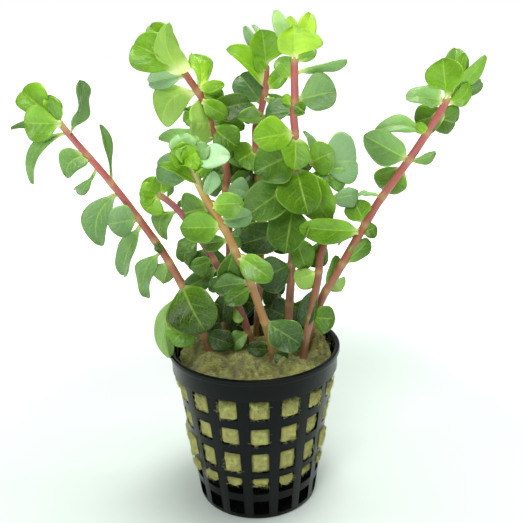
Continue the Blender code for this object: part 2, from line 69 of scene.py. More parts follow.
@dataclass(frozen=True)
class Leaf:
    """A leaf: the height of its node, its tip as seen, its blade and its look.

    depth is how far the tip lies behind the node, roll turns the blade about its midrib
    (0 shows the upper side, 180 the underside), arch and sweep bow the midrib out of and
    within the blade, and cup lifts the two edges. tone runs from 0, dark, to 1, young and
    yellow; low tones on the inner leaves near the wool are painted shade, and the brightest
    crown tones hold painted light shining through the blade. blue adds a painted bluish-white
    sheen of reflected light; wave ripples the margin, curl bends the tip back, neck narrows
    the base, and widest is where along the midrib the blade is widest.
    fold lifts the halves from the midrib, and back starts the blade that far behind its node.
    """

    node: float
    tip_x: float
    tip_z: float
    depth: float
    width: float
    roll: float = 0.0
    arch: float = 0.0
    sweep: float = 0.0
    cup: float = 0.15
    tone: float = 0.5
    blue: float = 0.05
    wave: float = 0.25
    curl: float = 0.6
    neck: float = 0.35
    widest: float = 0.58
    fold: float | None = None
    back: float = 0.0


@dataclass(frozen=True)
class Shoot:
    """A stem from the wool to its tip, with its large leaves and its small ones."""

    name: str
    route: tuple[tuple[float, float], ...]
    depths: tuple[float, float]
    radii: tuple[float, float]
    leaves: tuple[Leaf, ...]
    small_leaves: tuple[Leaf, ...]


SHOOTS = (
    Shoot(
        "far_left",
        route=(
            (-12.7, 44.5), (-14.4, 50.0), (-16.8, 57.0), (-19.9, 66.0), (-22.6, 71.8), (-25.4, 77.3),
            (-29.9, 84.6), (-34.7, 92.1), (-39.6, 99.2), (-46.3, 107.9), (-50.5, 113.8),
        ),
        depths=(-3.0, -9.0),
        radii=(1.25, 0.8),
        leaves=(
            Leaf(112.9, -59.3, 113.2, -3.0, 9.2, tone=0.68, wave=0.5, neck=0.2, widest=0.7, back=0.8),
            Leaf(109.8, -43.1, 123.7, -2.0, 6.0, roll=50.0, sweep=1.4, tone=0.42, blue=0.35, wave=0.7),
            Leaf(110.6, -59.2, 96.8, -4.0, 3.8, roll=22.0, arch=1.5, sweep=3.0, tone=0.52, blue=0.25,
                 wave=0.6, curl=0.5, neck=0.3),
            Leaf(104.2, -49.9, 98.6, -3.0, 6.6, roll=5.0, arch=1.0, sweep=1.6, tone=0.48, blue=0.25,
                 neck=0.2, widest=0.4),
            Leaf(94.0, -42.7, 78.9, -4.0, 7.4, roll=15.0, sweep=2.8, tone=0.4, blue=0.45),
            Leaf(86.5, -39.5, 85.0, -5.0, 8.6, tone=0.44, blue=0.5),
            Leaf(85.0, -37.0, 69.7, 4.0, 6.0, roll=40.0, tone=0.42, blue=0.35),
            Leaf(77.0, -31.0, 63.0, -2.0, 6.2, roll=35.0, sweep=2.5, tone=0.44, blue=0.35, wave=0.9),
            Leaf(66.8, -14.2, 51.8, -7.0, 14.0, arch=1.5, cup=0.2, tone=0.19, blue=0.0, neck=0.2, fold=0.1),
            Leaf(65.0, -25.2, 44.0, -3.0, 6.6, roll=150.0, sweep=-3.0, tone=0.45, blue=0.68),
            Leaf(58.0, -9.6, 56.5, 2.0, 7.0, tone=0.0, blue=0.18),
            Leaf(56.0, -24.2, 48.6, -5.0, 9.4, cup=0.0, tone=0.54, blue=0.08),
        ),
        small_leaves=(
            Leaf(113.2, -59.0, 121.6, 3.0, 8.2, tone=0.66, blue=0.0, wave=0.6, neck=0.9, widest=0.68),
            Leaf(112.9, -52.4, 120.2, 0.5, 4.8, roll=10.0, arch=0.3, tone=0.72, blue=0.0),
            Leaf(112.6, -51.3, 119.4, -1.5, 3.4, tone=0.58, blue=0.1),
            Leaf(112.3, -63.2, 112.0, 3.0, 3.2, roll=55.0, tone=0.36, blue=0.3),
            Leaf(101.0, -47.8, 94.4, 3.0, 3.2, roll=15.0, arch=1.0, sweep=-1.2, tone=0.46, blue=0.3,
                 neck=0.8, widest=0.74),
            Leaf(96.5, -39.1, 112.4, 2.0, 3.0, roll=50.0, arch=0.2, tone=0.4, blue=0.25, widest=0.74),
            Leaf(80.0, -25.5, 76.5, -2.5, 2.4, tone=0.15, blue=0.0),
            Leaf(73.5, -25.5, 67.5, 4.0, 7.4, roll=180.0, tone=0.43, blue=0.55),
            Leaf(51.0, -6.5, 47.5, -1.0, 6.8, tone=0.0, blue=0.18),
        ),
    ),
    Shoot(
        "low_left",
        route=(
            (-0.4, 45.0), (-0.9, 47.5), (-1.9, 52.0), (-3.2, 57.0), (-6.8, 65.0), (-9.2, 70.8),
            (-14.0, 79.5), (-19.3, 87.6), (-21.3, 90.2), (-23.2, 91.6), (-25.6, 93.4),
        ),
        depths=(2.0, -6.0),
        radii=(1.1, 0.85),
        leaves=(),
        small_leaves=(
            Leaf(93.0, -30.3, 93.4, -1.5, 6.4, tone=0.72, blue=0.0),
            Leaf(92.8, -28.9, 88.3, -1.5, 7.0, tone=0.68, blue=0.0),
            Leaf(92.6, -24.2, 98.4, -1.5, 6.6, tone=0.56, blue=0.0),
            Leaf(92.4, -29.0, 96.8, -0.5, 5.8, tone=0.64, blue=0.0),
            Leaf(91.4, -21.0, 97.8, 1.0, 3.4, roll=65.0, tone=0.42, blue=0.2),
            Leaf(88.5, -24.5, 80.3, -1.0, 5.6, roll=20.0, sweep=3.0, tone=0.46, blue=0.2),
            Leaf(88.6, -19.0, 91.2, 0.5, 1.6, tone=0.26, blue=0.2),
            Leaf(81.0, -19.3, 73.0, 1.0, 5.8, sweep=1.2, tone=0.36, blue=0.17, wave=0.6, fold=0.3),
            Leaf(77.5, -16.6, 70.6, 3.0, 6.2, sweep=1.0, tone=0.27, blue=0.15, wave=0.6, fold=0.25),
            Leaf(72.0, -19.3, 66.2, 2.0, 6.0, sweep=-1.0, tone=0.29, blue=0.21, wave=0.6, fold=0.3),
            Leaf(69.5, -12.2, 64.2, -1.5, 3.6, tone=0.22, blue=0.18),
            Leaf(66.0, -9.0, 54.5, 2.0, 6.4, tone=0.02, blue=0.13),
            Leaf(60.0, -4.5, 54.3, -1.5, 3.6, roll=180.0, tone=0.46, blue=0.18),
            Leaf(51.5, -7.2, 46.5, -3.0, 5.4, arch=1.6, tone=0.48, blue=0.22, curl=1.6),
            Leaf(80.0, -20.6, 77.0, -2.0, 5.4, roll=30.0, tone=0.3, blue=0.2),
            Leaf(74.0, -17.4, 71.8, -3.0, 5.8, roll=-20.0, tone=0.36, blue=0.1),
            Leaf(49.0, -10.8, 44.6, 1.0, 5.0, tone=0.04, blue=0.4),
        ),
    ),
    Shoot(
        "upper_left",
        route=(
            (-9.0, 45.0), (-8.6, 52.0), (-7.3, 65.0), (-6.2, 75.5), (-6.2, 84.0), (-6.8, 93.6),
            (-5.9, 98.0), (-6.4, 101.2), (-8.2, 107.4), (-9.7, 110.5), (-10.8, 114.5),
            (-12.0, 118.9), (-14.9, 123.0), (-17.0, 126.5),
        ),
        depths=(5.0, 9.0),
        radii=(1.25, 0.95),
        leaves=(
            Leaf(126.0, -28.8, 132.6, 1.5, 11.4, roll=8.0, cup=0.3, tone=0.66, blue=0.0, neck=0.3,
                 widest=0.66),
            Leaf(125.6, -20.0, 137.4, -3.6, 7.2, roll=180.0, sweep=2.2, tone=0.84, blue=0.0, neck=-0.1,
                 widest=0.34, fold=0.2, back=1.2),
            Leaf(120.4, -22.5, 111.8, -2.0, 11.2, roll=200.0, sweep=-4.4, cup=0.05, tone=0.72, blue=0.0,
                 neck=0.15, fold=0.0),
            Leaf(120.0, -13.6, 129.8, 4.5, 6.4, roll=20.0, sweep=1.3, tone=0.82, blue=0.0, wave=1.5),
            Leaf(115.0, 0.5, 117.2, -2.0, 7.6, tone=0.26),
            Leaf(111.7, -15.6, 112.3, -7.0, 12.2, roll=188.0, cup=0.3, tone=0.96, blue=0.2, neck=-0.1,
                 widest=0.5, fold=0.0, back=3.8),
            Leaf(108.5, -24.1, 108.4, -2.0, 5.0, roll=40.0, tone=0.56, blue=0.3),
        ),
        small_leaves=(
            Leaf(126.2, -24.5, 137.0, 3.0, 7.4, tone=0.68, blue=0.0),
            Leaf(124.5, -26.0, 122.8, 6.5, 5.8, tone=0.56, blue=0.85),
            Leaf(120.6, -6.0, 121.9, -2.0, 3.4, tone=0.76, blue=0.0),
            Leaf(120.0, -6.3, 117.8, 2.0, 5.4, tone=0.66, blue=0.0),
            Leaf(117.5, -17.0, 112.0, 2.5, 5.0, tone=0.66, blue=0.0),
            Leaf(112.5, -0.8, 110.6, 2.0, 4.0, tone=0.56, blue=0.0),
            Leaf(111.0, -3.0, 105.4, -2.0, 8.2, tone=0.46, blue=0.0),
            Leaf(109.3, -17.0, 116.0, 2.0, 5.6, roll=60.0, tone=0.36, blue=0.9),
            Leaf(101.5, -1.0, 103.5, 3.0, 7.6, tone=0.36, blue=0.1),
            Leaf(98.0, -12.0, 93.5, 3.0, 6.8, tone=0.26, blue=0.1),
            Leaf(96.5, 1.5, 96.5, 3.0, 6.6, tone=0.24, blue=0.1),
            Leaf(94.3, -0.5, 93.0, -3.0, 7.0, tone=0.4, blue=0.75),
            Leaf(74.0, -13.5, 73.0, 2.0, 8.8, tone=0.24, blue=0.16),
            Leaf(66.0, -1.5, 62.0, 2.0, 8.8, tone=0.1, blue=0.11),
            Leaf(58.0, -3.0, 54.5, 2.0, 8.8, tone=0.0, blue=0.13),
            Leaf(56.0, -14.5, 53.5, 2.0, 8.2, tone=0.0, blue=0.13),
            Leaf(51.5, -3.0, 50.0, 1.0, 6.4, tone=0.0, blue=0.18),
            Leaf(117.5, -5.6, 113.6, -2.5, 5.6, tone=0.62, blue=0.0, back=1.0),
            Leaf(47.5, -13.6, 45.4, -3.0, 4.4, tone=0.06, blue=0.4),
            Leaf(90.0, -14.0, 86.0, 1.0, 7.4, tone=0.2, blue=0.2),
            Leaf(101.0, -10.4, 96.6, 5.0, 7.0, tone=0.2, blue=0.1),
        ),
    ),
    Shoot(
        "front",
        route=(
            (5.5, 42.5), (5.3, 45.5), (4.5, 49.6), (3.4, 53.8), (2.2, 57.5), (0.8, 62.3),
            (-0.4, 66.3), (-1.8, 70.2), (-4.4, 75.5), (-7.0, 82.0), (-10.5, 88.0), (-12.8, 92.7),
            (-14.4, 96.6), (-15.3, 99.6), (-16.5, 103.5),
        ),
        depths=(-8.0, -20.0),
        radii=(1.2, 0.95),
        leaves=(
            Leaf(94.8, -23.9, 101.3, -4.5, 4.5, roll=40.0, tone=0.64, blue=0.0),
            Leaf(89.6, -2.0, 90.0, -3.0, 6.4, tone=0.61),
            Leaf(89.0, -18.8, 87.4, 5.0, 10.8, cup=0.0, tone=0.36, neck=0.2),
            Leaf(83.3, -19.6, 83.4, -4.5, 8.2, cup=0.2, tone=0.56),
            Leaf(75.0, 5.4, 67.4, -5.0, 7.0, cup=0.25, tone=0.49),
            Leaf(65.2, -8.0, 60.8, -3.5, 5.0, tone=0.31),
            Leaf(54.6, 13.8, 46.8, -3.0, 9.4, tone=0.12, blue=0.27, wave=0.7),
        ),
        small_leaves=(
            Leaf(102.8, -18.7, 109.2, 0.0, 6.8, tone=0.76, blue=0.45),
            Leaf(102.5, -21.0, 104.3, -3.0, 6.6, tone=0.68, blue=0.0),
            Leaf(102.2, -13.0, 107.5, 2.0, 5.6, tone=0.72, blue=0.1),
            Leaf(101.9, -5.2, 103.3, -1.0, 6.6, roll=-20.0, tone=0.68, blue=0.85),
            Leaf(101.6, -16.5, 106.0, -3.5, 4.2, tone=0.78, blue=0.0),
            Leaf(101.3, -12.5, 100.5, -3.0, 4.2, tone=0.78, blue=0.0),
            Leaf(98.0, -25.2, 101.0, 4.0, 8.2, tone=0.34, blue=0.6),
            Leaf(96.4, -10.6, 101.8, 1.0, 3.2, tone=0.66, blue=0.1),
            Leaf(91.6, -9.7, 98.8, -2.0, 4.4, roll=20.0, tone=0.51, blue=0.85),
            Leaf(85.0, 0.3, 86.5, -1.5, 5.6, roll=8.0, tone=0.4, blue=0.6),
            Leaf(80.5, -2.8, 80.5, 3.0, 6.0, tone=0.27, blue=0.2),
            Leaf(79.5, -13.9, 78.4, 3.0, 4.6, tone=0.33, blue=0.09),
            Leaf(77.0, -8.3, 66.0, 8.0, 6.2, tone=0.23, blue=0.13),
            Leaf(66.8, -11.0, 65.5, 1.5, 6.2, tone=0.27, blue=0.25, wave=0.6),
            Leaf(45.5, -2.2, 46.2, -1.0, 4.4, tone=0.0, blue=0.09, neck=0.3),
            Leaf(102.6, -17.6, 106.6, -2.5, 5.4, tone=0.7, blue=0.2),
            Leaf(102.0, -10.8, 106.0, -0.5, 4.6, tone=0.6, blue=0.4),
            Leaf(102.2, -15.0, 109.0, 1.0, 4.6, tone=0.74, blue=0.3),
            Leaf(103.3, -14.4, 100.0, -3.5, 5.0, tone=0.76, blue=0.0, wave=1.2, back=1.2),
            Leaf(103.0, -18.8, 105.0, -4.0, 4.4, tone=0.8, blue=0.1, wave=1.0),
            Leaf(45.0, 9.6, 41.6, -2.0, 4.6, tone=0.04, blue=0.4),
        ),
    ),
    Shoot(
        "far_right",
        route=(
            (15.0, 44.0), (16.2, 51.0), (17.8, 56.5), (20.7, 63.0), (24.2, 68.8), (28.4, 76.6),
            (31.5, 82.0), (35.2, 88.8), (39.7, 95.2), (44.8, 102.6), (48.6, 108.6), (51.1, 112.7),
            (53.5, 117.6),
        ),
        depths=(0.0, 2.0),
        radii=(1.25, 1.02),
        leaves=(
            Leaf(117.0, 51.2, 127.0, -3.0, 10.2, cup=0.4, tone=0.68, blue=0.0, wave=0.7, neck=0.75,
                 widest=0.72, back=0.8),
            Leaf(115.9, 42.2, 117.6, -2.0, 6.4, roll=30.0, cup=0.5, tone=0.62, blue=0.3, wave=1.5,
                 fold=0.0),
            Leaf(100.6, 31.2, 107.6, -3.0, 8.8, cup=0.4, tone=0.48, blue=0.3),
            Leaf(99.0, 36.0, 92.6, 6.0, 9.6, cup=-0.1, tone=0.48, neck=0.2),
            Leaf(82.8, 28.8, 89.7, 3.0, 7.6, cup=0.4, tone=0.5),
            Leaf(81.0, 13.8, 82.6, -9.5, 7.2, tone=0.56, blue=0.0),
        ),
        small_leaves=(
            Leaf(117.3, 54.8, 129.6, 2.5, 6.8, tone=0.64, blue=0.1),
            Leaf(116.7, 62.9, 127.4, 0.0, 4.8, roll=30.0, tone=0.74),
            Leaf(116.4, 62.2, 121.0, 3.0, 5.0, tone=0.4, blue=0.4),
            Leaf(115.5, 58.8, 120.4, -1.5, 4.8, sweep=1.5, tone=0.66, blue=0.0, wave=0.8),
            Leaf(112.3, 44.6, 110.8, 3.0, 8.4, tone=0.42, blue=0.0, neck=0.05, fold=0.1, back=2.4),
            Leaf(111.9, 56.0, 110.2, 3.0, 8.4, tone=0.36, blue=0.0, neck=0.0, fold=0.1, back=2.4),
            Leaf(107.9, 34.0, 108.7, 2.0, 5.2, roll=30.0, sweep=1.5, tone=0.56, blue=0.3),
            Leaf(107.2, 45.4, 110.4, -1.5, 3.2, tone=0.74, blue=0.0),
            Leaf(100.3, 51.0, 102.4, 1.0, 4.4, roll=60.0, tone=0.54, blue=0.2),
            Leaf(90.8, 29.8, 91.7, 0.0, 3.0, roll=60.0, tone=0.61, blue=0.4),
            Leaf(80.5, 35.2, 82.0, -1.0, 4.8, tone=0.44, blue=0.0),
            Leaf(79.9, 24.2, 77.4, 2.0, 2.4, roll=60.0, tone=0.35, blue=0.3),
            Leaf(71.5, 33.2, 78.4, 1.0, 5.4, roll=20.0, tone=0.44, blue=0.1),
            Leaf(67.0, 25.2, 63.5, 2.0, 6.0, roll=180.0, tone=0.62, blue=0.35),
            Leaf(63.5, 24.3, 73.9, 1.0, 4.6, roll=45.0, tone=0.44, blue=0.09),
            Leaf(117.0, 57.0, 128.2, -0.5, 3.6, tone=0.72, blue=0.0),
        ),
    ),
    Shoot(
        "right",
        route=(
            (14.4, 42.2), (14.6, 45.0), (15.3, 49.2), (16.2, 53.6), (17.0, 57.8), (17.8, 62.3),
            (18.8, 67.5), (19.3, 73.5), (20.5, 78.0), (22.2, 85.5), (21.8, 90.0), (20.0, 96.0),
            (17.5, 102.0),
        ),
        depths=(-7.0, 4.0),
        radii=(1.2, 0.95),
        leaves=(
            Leaf(101.3, 23.0, 103.4, -3.5, 9.4, tone=0.62, neck=0.3, back=2.6),
            Leaf(100.2, 29.4, 100.8, 4.0, 14.4, tone=0.48, blue=0.7),
            Leaf(55.4, 23.7, 54.6, -2.0, 8.0, tone=0.33),
        ),
        small_leaves=(
            Leaf(100.8, 15.0, 109.3, 1.0, 3.2, roll=35.0, tone=0.56, blue=0.4),
            Leaf(96.0, 26.5, 96.3, 1.5, 6.8, tone=0.68, blue=0.2),
            Leaf(90.5, 30.0, 91.8, 1.0, 6.2, roll=30.0, tone=0.48, blue=0.6),
            Leaf(79.5, 16.2, 71.0, 3.0, 6.6, tone=0.35, blue=0.08),
            Leaf(69.3, 12.0, 66.8, -1.5, 6.6, roll=180.0, tone=0.7, blue=0.07),
            Leaf(65.3, 14.2, 52.3, -2.5, 5.2, tone=0.0, blue=0.27),
            Leaf(98.5, 18.8, 92.8, -3.0, 6.6, tone=0.46, blue=0.0, back=1.0),
        ),
    ),
    Shoot(
        "tall",
        route=(
            (9.8, 45.0), (9.9, 50.0), (10.2, 56.0), (11.0, 67.0), (11.6, 78.0), (12.0, 88.0),
            (12.7, 99.0), (12.6, 108.5), (12.3, 111.5), (12.1, 114.0), (12.6, 117.0), (12.5, 120.2),
            (12.5, 128.8),
        ),
        depths=(3.0, 0.0),
        radii=(1.25, 1),
        leaves=(
            Leaf(128.0, 12.6, 135.8, -3.5, 11.6, cup=0.3, tone=0.92, blue=0.0, curl=1.6, neck=0.5,
                 widest=0.66, back=0.6),
            Leaf(124.6, 26.4, 127.0, 1.0, 5.2, roll=50.0, sweep=-1.0, tone=0.61, blue=0.35),
            Leaf(117.2, 23.5, 119.4, -2.0, 10.0, tone=0.46, blue=0.35, widest=0.64),
            Leaf(108.8, 1.5, 107.4, -7.0, 9.2, tone=0.68, blue=0.0, fold=0.1),
            Leaf(108.0, 12.3, 99.0, -6.0, 8.2, tone=0.56, blue=0.0, neck=0.2, widest=0.52),
            Leaf(103.5, 1.4, 98.4, -4.0, 11.4, cup=0.42, tone=0.42),
            Leaf(99.8, 16.0, 86.3, -7.0, 12.2, cup=0.42, tone=0.42, blue=0.0, fold=0.22),
            Leaf(95.5, -1.0, 86.4, -6.0, 11.2, cup=0.42, tone=0.42, blue=0.1, fold=0.28),
            Leaf(89.0, 9.6, 75.2, -8.0, 11.6, cup=0.42, tone=0.3, blue=0.09, fold=0.3),
            Leaf(82.0, -3.6, 78.0, 1.0, 9.6, tone=0.13, blue=0.09),
            Leaf(72.0, 1.3, 67.0, -2.0, 10.4, tone=0.06, blue=0.3),
        ),
        small_leaves=(
            Leaf(127.7, 7.8, 139.9, 1.0, 4.1, tone=0.91, blue=0.5),
            Leaf(127.4, 17.0, 139.0, 3.0, 5.4, tone=1.0, blue=0.0),
            Leaf(127.1, 11.2, 138.4, 2.0, 3.6, tone=1.0, blue=0.0),
            Leaf(126.8, 17.8, 131.0, 1.0, 4.4, tone=0.72, blue=0.1),
            Leaf(122.6, 8.0, 128.0, 1.0, 5.6, tone=0.66, blue=0.1),
            Leaf(117.0, 14.8, 114.2, -2.0, 3.4, tone=0.4, blue=0.0),
            Leaf(116.6, 9.0, 118.2, 1.0, 2.8, tone=0.78, blue=0.0),
            Leaf(114.5, 4.6, 113.8, 1.0, 6.8, roll=30.0, tone=0.28, blue=0.4),
            Leaf(99.2, 21.6, 84.6, -3.0, 9.8, cup=0.4, tone=0.58, blue=0.0),
            Leaf(81.0, 15.4, 70.2, -2.0, 7.0, tone=0.45, blue=0.0),
            Leaf(60.0, 15.5, 57.0, 3.0, 8.4, tone=0.02, blue=0.13),
            Leaf(55.5, 4.5, 58.5, 2.0, 8.4, tone=0.0, blue=0.19),
            Leaf(51.0, 12.8, 45.5, -4.0, 7.4, tone=0.0, blue=0.18),
        ),
    ),
    Shoot(
        "middle",
        route=(
            (0.5, 47.0), (1.2, 56.0), (2.0, 65.0), (2.6, 75.0), (2.5, 84.5), (2.3, 95.0),
            (1.8, 105.0), (1.8, 111.0), (3.6, 114.8), (4.3, 118.0), (5.0, 121.0), (5.2, 126.8),
        ),
        depths=(9.0, 12.0),
        radii=(1.15, 0.9),
        leaves=(
            Leaf(126.0, 4.2, 135.2, -2.5, 9.4, tone=0.66, blue=0.0),
            Leaf(120.6, -4.8, 130.9, -2.0, 7.4, roll=30.0, cup=0.35, tone=0.76, blue=0.0, widest=0.5),
            Leaf(116.5, -1.8, 124.3, 3.0, 8.6, tone=0.28, blue=0.5),
            Leaf(104.5, -3.4, 101.4, -3.0, 9.8, cup=0.4, tone=0.56, blue=0.0, neck=0.0, widest=0.55),
        ),
        small_leaves=(
            Leaf(126.2, 2.0, 136.6, 2.0, 3.4, roll=40.0, arch=1.0, tone=0.61, blue=0.4),
            Leaf(125.8, -0.3, 136.2, 1.0, 3.0, tone=0.52, blue=0.7),
            Leaf(124.5, 2.5, 128.5, -4.0, 3.4, tone=0.7, blue=0.0),
            Leaf(120.2, 10.4, 124.8, 0.0, 4.8, tone=0.68, blue=0.0),
            Leaf(119.5, 9.6, 117.8, -1.0, 3.6, roll=40.0, tone=0.56, blue=0.2),
            Leaf(114.0, -2.0, 115.0, -1.0, 6.0, tone=0.56, blue=0.1),
            Leaf(113.5, 7.0, 111.8, -1.0, 3.6, tone=0.48, blue=0.1),
            Leaf(78.0, 9.5, 80.0, 3.0, 10.0, tone=0.2, blue=0.2),
            Leaf(72.0, -4.5, 70.0, 2.0, 8.8, tone=0.1, blue=0.15),
            Leaf(66.0, 8.5, 62.5, 2.0, 8.8, tone=0.02, blue=0.11),
            Leaf(60.0, -5.5, 62.0, 2.0, 8.8, tone=0.02, blue=0.17),
            Leaf(57.0, 6.8, 52.5, 1.0, 8.8, tone=0.0, blue=0.13),
            Leaf(53.5, 7.6, 51.5, -1.0, 5.4, tone=0.01, blue=0.13),
            Leaf(118.2, 14.8, 113.9, -14.0, 3.6, roll=15.0, tone=0.62, blue=0.1, back=0.5),
            Leaf(113.4, -2.4, 113.3, -9.0, 4.6, tone=0.62, blue=0.1, back=3.0),
            Leaf(101.0, -5.6, 96.8, 0.0, 8.2, tone=0.22, blue=0.1),
            Leaf(97.0, 10.4, 98.2, -1.0, 8.4, tone=0.14, blue=0.1),
            Leaf(99.5, 17.2, 100.6, -1.0, 8.0, tone=0.2, blue=0.1),
            Leaf(88.0, 11.5, 87.0, 1.0, 8.8, tone=0.14, blue=0.1),
            Leaf(86.5, -5.4, 84.0, -1.0, 8.2, tone=0.16, blue=0.1),
            Leaf(92.0, -6.2, 90.4, 0.0, 7.4, tone=0.2, blue=0.1),
            Leaf(62.0, -3.6, 57.6, 8.0, 6.6, tone=0.02, blue=0.15),
            Leaf(59.0, 7.6, 57.4, 6.0, 7.2, tone=0.03, blue=0.15),
        ),
    ),
)


TINTS = {
    "far_left": Tint.ROSE,
    "low_left": Tint.MAUVE,
    "upper_left": Tint.BROWN,
    "front": Tint.OCHRE,
    "far_right": Tint.ROSE,
    "right": Tint.BROWN,
    "tall": Tint.ROSE,
    "middle": Tint.ROSE,
}


def smooth_step(low: float, high: float, value: float) -> float:
    """A soft ramp from 0 at low to 1 at high.

    Args:
        low: where the ramp starts.
        high: where the ramp ends.
        value: the place along it.

    Returns:
        The ramp's height, from 0 to 1.
    """
    share = min(1.0, max(0.0, (value - low) / (high - low)))
    return share * share * (3.0 - 2.0 * share)


def placed(x: float, z: float, depth: float) -> Vector:
    """Moves a point seen on the axis plane along the line of sight.

    Args:
        x: sideways place on the plane, in millimetres.
        z: height on the plane, in millimetres.
        depth: the y that the point ends at, in millimetres.

    Returns:
        The point in millimetres.
    """
    return VIEWER + (Vector((x, 0.0, z)) - VIEWER) * ((depth - VIEWER.y) / -VIEWER.y)


def rough(point: Vector, scale: float, seed: float = 0.0) -> float:
    """Smooth noise from about -1 to 1.

    Args:
        point: a place in millimetres.
        scale: waves per millimetre.
        seed: shifts the pattern.

    Returns:
        The noise there.
    """
    return noise.noise(point * scale + Vector((seed, seed * 1.7, seed * 0.6)))


def mesh_object(name: str, shape: bmesh.types.BMesh, material: bpy.types.Material) -> bpy.types.Object:
    """Turns a bmesh into a smooth shaded object in the scene.

    Args:
        name: the piece's name.
        shape: the bmesh, which is freed.
        material: the piece's finish.

    Returns:
        The new object, at the origin.
    """
    mesh = bpy.data.meshes.new(name)
    shape.to_mesh(mesh)
    shape.free()
    mesh.materials.append(material)
    mesh.shade_smooth()
    piece = bpy.data.objects.new(name, mesh)
    bpy.context.scene.collection.objects.link(piece)
    return piece


def bake_modifiers(piece: bpy.types.Object) -> None:
    """Replaces a piece's mesh by what its modifiers make of it, and clears them.

    Args:
        piece: the object whose modifiers are used up.
    """
    bpy.context.view_layer.update()
    done = bpy.data.meshes.new_from_object(piece.evaluated_get(bpy.context.evaluated_depsgraph_get()))
    old = piece.data
    piece.modifiers.clear()
    piece.data = done
    done.name = piece.name
    bpy.data.meshes.remove(old)


class Graph:
    """Builds one material's node tree with short calls."""

    def __init__(self, name: str) -> None:
        """Starts a material with its principled shader.

        Args:
            name: the material's name.
        """
        self.material = bpy.data.materials.new(name)
        self.material.use_nodes = True
        self.tree = self.material.node_tree
        self.shader = self.tree.nodes["Principled BSDF"]
        self.where = self.tree.nodes.new("ShaderNodeTexCoord")

    @property
    def object_place(self) -> Socket:
        """The place on the piece, in metres."""
        return self.where.outputs["Object"]

    def add(
        self, kind: str, inputs: dict[str | int, object] | None = None, **settings: object
    ) -> bpy.types.Node:
        """Adds a node.

        Args:
            kind: the node's type name.
            inputs: values or sockets for its inputs, by name or place.
            **settings: the node's own properties.

        Returns:
            The node.
        """
        node = self.tree.nodes.new(kind)
        for key, value in settings.items():
            setattr(node, key, value)
        for key, value in (inputs or {}).items():
            self.feed(node.inputs[key], value)
        return node

    def feed(self, socket: Socket, value: object) -> None:
        """Links a socket to an input, or sets the input's number or colour.

        Args:
            socket: the input.
            value: a socket, a number, a vector or a colour.
        """
        if isinstance(value, bpy.types.NodeSocket):
            self.tree.links.new(value, socket)
        elif isinstance(value, tuple) and len(value) == 3 and len(socket.default_value) == 4:
            socket.default_value = (*value, 1.0)
        else:
            socket.default_value = value

    def math(self, operation: str, first: object, second: object = 0.0, third: object = 0.0) -> Socket:
        """One step of arithmetic.

        Args:
            operation: the operation's name.
            first: a number or socket.
            second: a number or socket.
            third: a number or socket.

        Returns:
            The result's socket.
        """
        node = self.add("ShaderNodeMath", {0: first, 1: second, 2: third}, operation=operation)
        return node.outputs[0]

    def ramp(self, value: object, low: object, high: object, start: float = 0.0, end: float = 1.0) -> Socket:
        """A soft ramp of a value between two ends.

        Args:
            value: the number or socket to map.
            low: where the ramp starts.
            high: where it ends.
            start: its height at low.
            end: its height at high.

        Returns:
            The ramp's socket.
        """
        node = self.add(
            "ShaderNodeMapRange",
            {"Value": value, "From Min": low, "From Max": high, "To Min": start, "To Max": end},
            interpolation_type="SMOOTHSTEP",
        )
        return node.outputs["Result"]

    def mix(self, share: object, first: object, second: object, blend: str = "MIX") -> Socket:
        """Mixes two colours.

        Args:
            share: how much of the second, a number or socket.
            first: a colour or socket.
            second: a colour or socket.
            blend: how the second is laid over the first.

        Returns:
            The mixed colour's socket.
        """
        node = self.add("ShaderNodeMix", {0: share, 6: first, 7: second}, data_type="RGBA", blend_type=blend)
        return node.outputs[2]

    def stretched(self, place: Socket, scale: tuple[float, float, float]) -> Socket:
        """A place scaled by a different amount along each axis."""
        return self.add("ShaderNodeMapping", {"Vector": place, "Scale": scale}).outputs[0]

    def noise(self, place: Socket, scale: float, detail: float = 3.0, distortion: float = 0.0) -> Socket:
        """Noise from 0 to 1.

        Args:
            place: the coordinates to read.
            scale: how fine it is.
            detail: how many finer layers it has.
            distortion: how much it swirls.

        Returns:
            The noise's socket.
        """
        node = self.add(
            "ShaderNodeTexNoise",
            {"Vector": place, "Scale": scale, "Detail": detail, "Distortion": distortion},
        )
        return node.outputs[0]

    def relief(self, height: Socket, distance: float, strength: float = 1.0) -> None:
        """Gives the shader a bump from a height, in metres."""
        bump = self.add("ShaderNodeBump", {"Strength": strength, "Distance": distance, "Height": height})
        self.feed(self.shader.inputs["Normal"], bump.outputs[0])

    def finish(self, colour: object, roughness: object) -> bpy.types.Material:
        """Feeds the shader's colour and roughness.

        Args:
            colour: a colour or socket.
            roughness: a number or socket.

        Returns:
            The finished material.
        """
        self.feed(self.shader.inputs["Base Color"], colour)
        self.feed(self.shader.inputs["Roughness"], roughness)
        return self.material


@dataclass(frozen=True)
class Veins:
    """The vein pattern of a leaf, which its relief and its colour share."""

    pairs: int = 5
    lean: float = 0.34
    bend: float = 0.20

    def along(self, t: float, across: float) -> float:
        """How far along the row of side veins a place lies.

        Args:
            t: share along the midrib.
            across: share from the midrib to the margin, 0 to 1.

        Returns:
            A number that is whole on each side vein.
        """
        return (t - self.lean * across - self.bend * across**3) * self.pairs

    def quilt(self, t: float, across: float) -> float:
        """Height of the blade between its side veins, 0 on a vein and 1 between two."""
        return abs(math.sin(math.pi * self.along(t, across))) ** 0.8


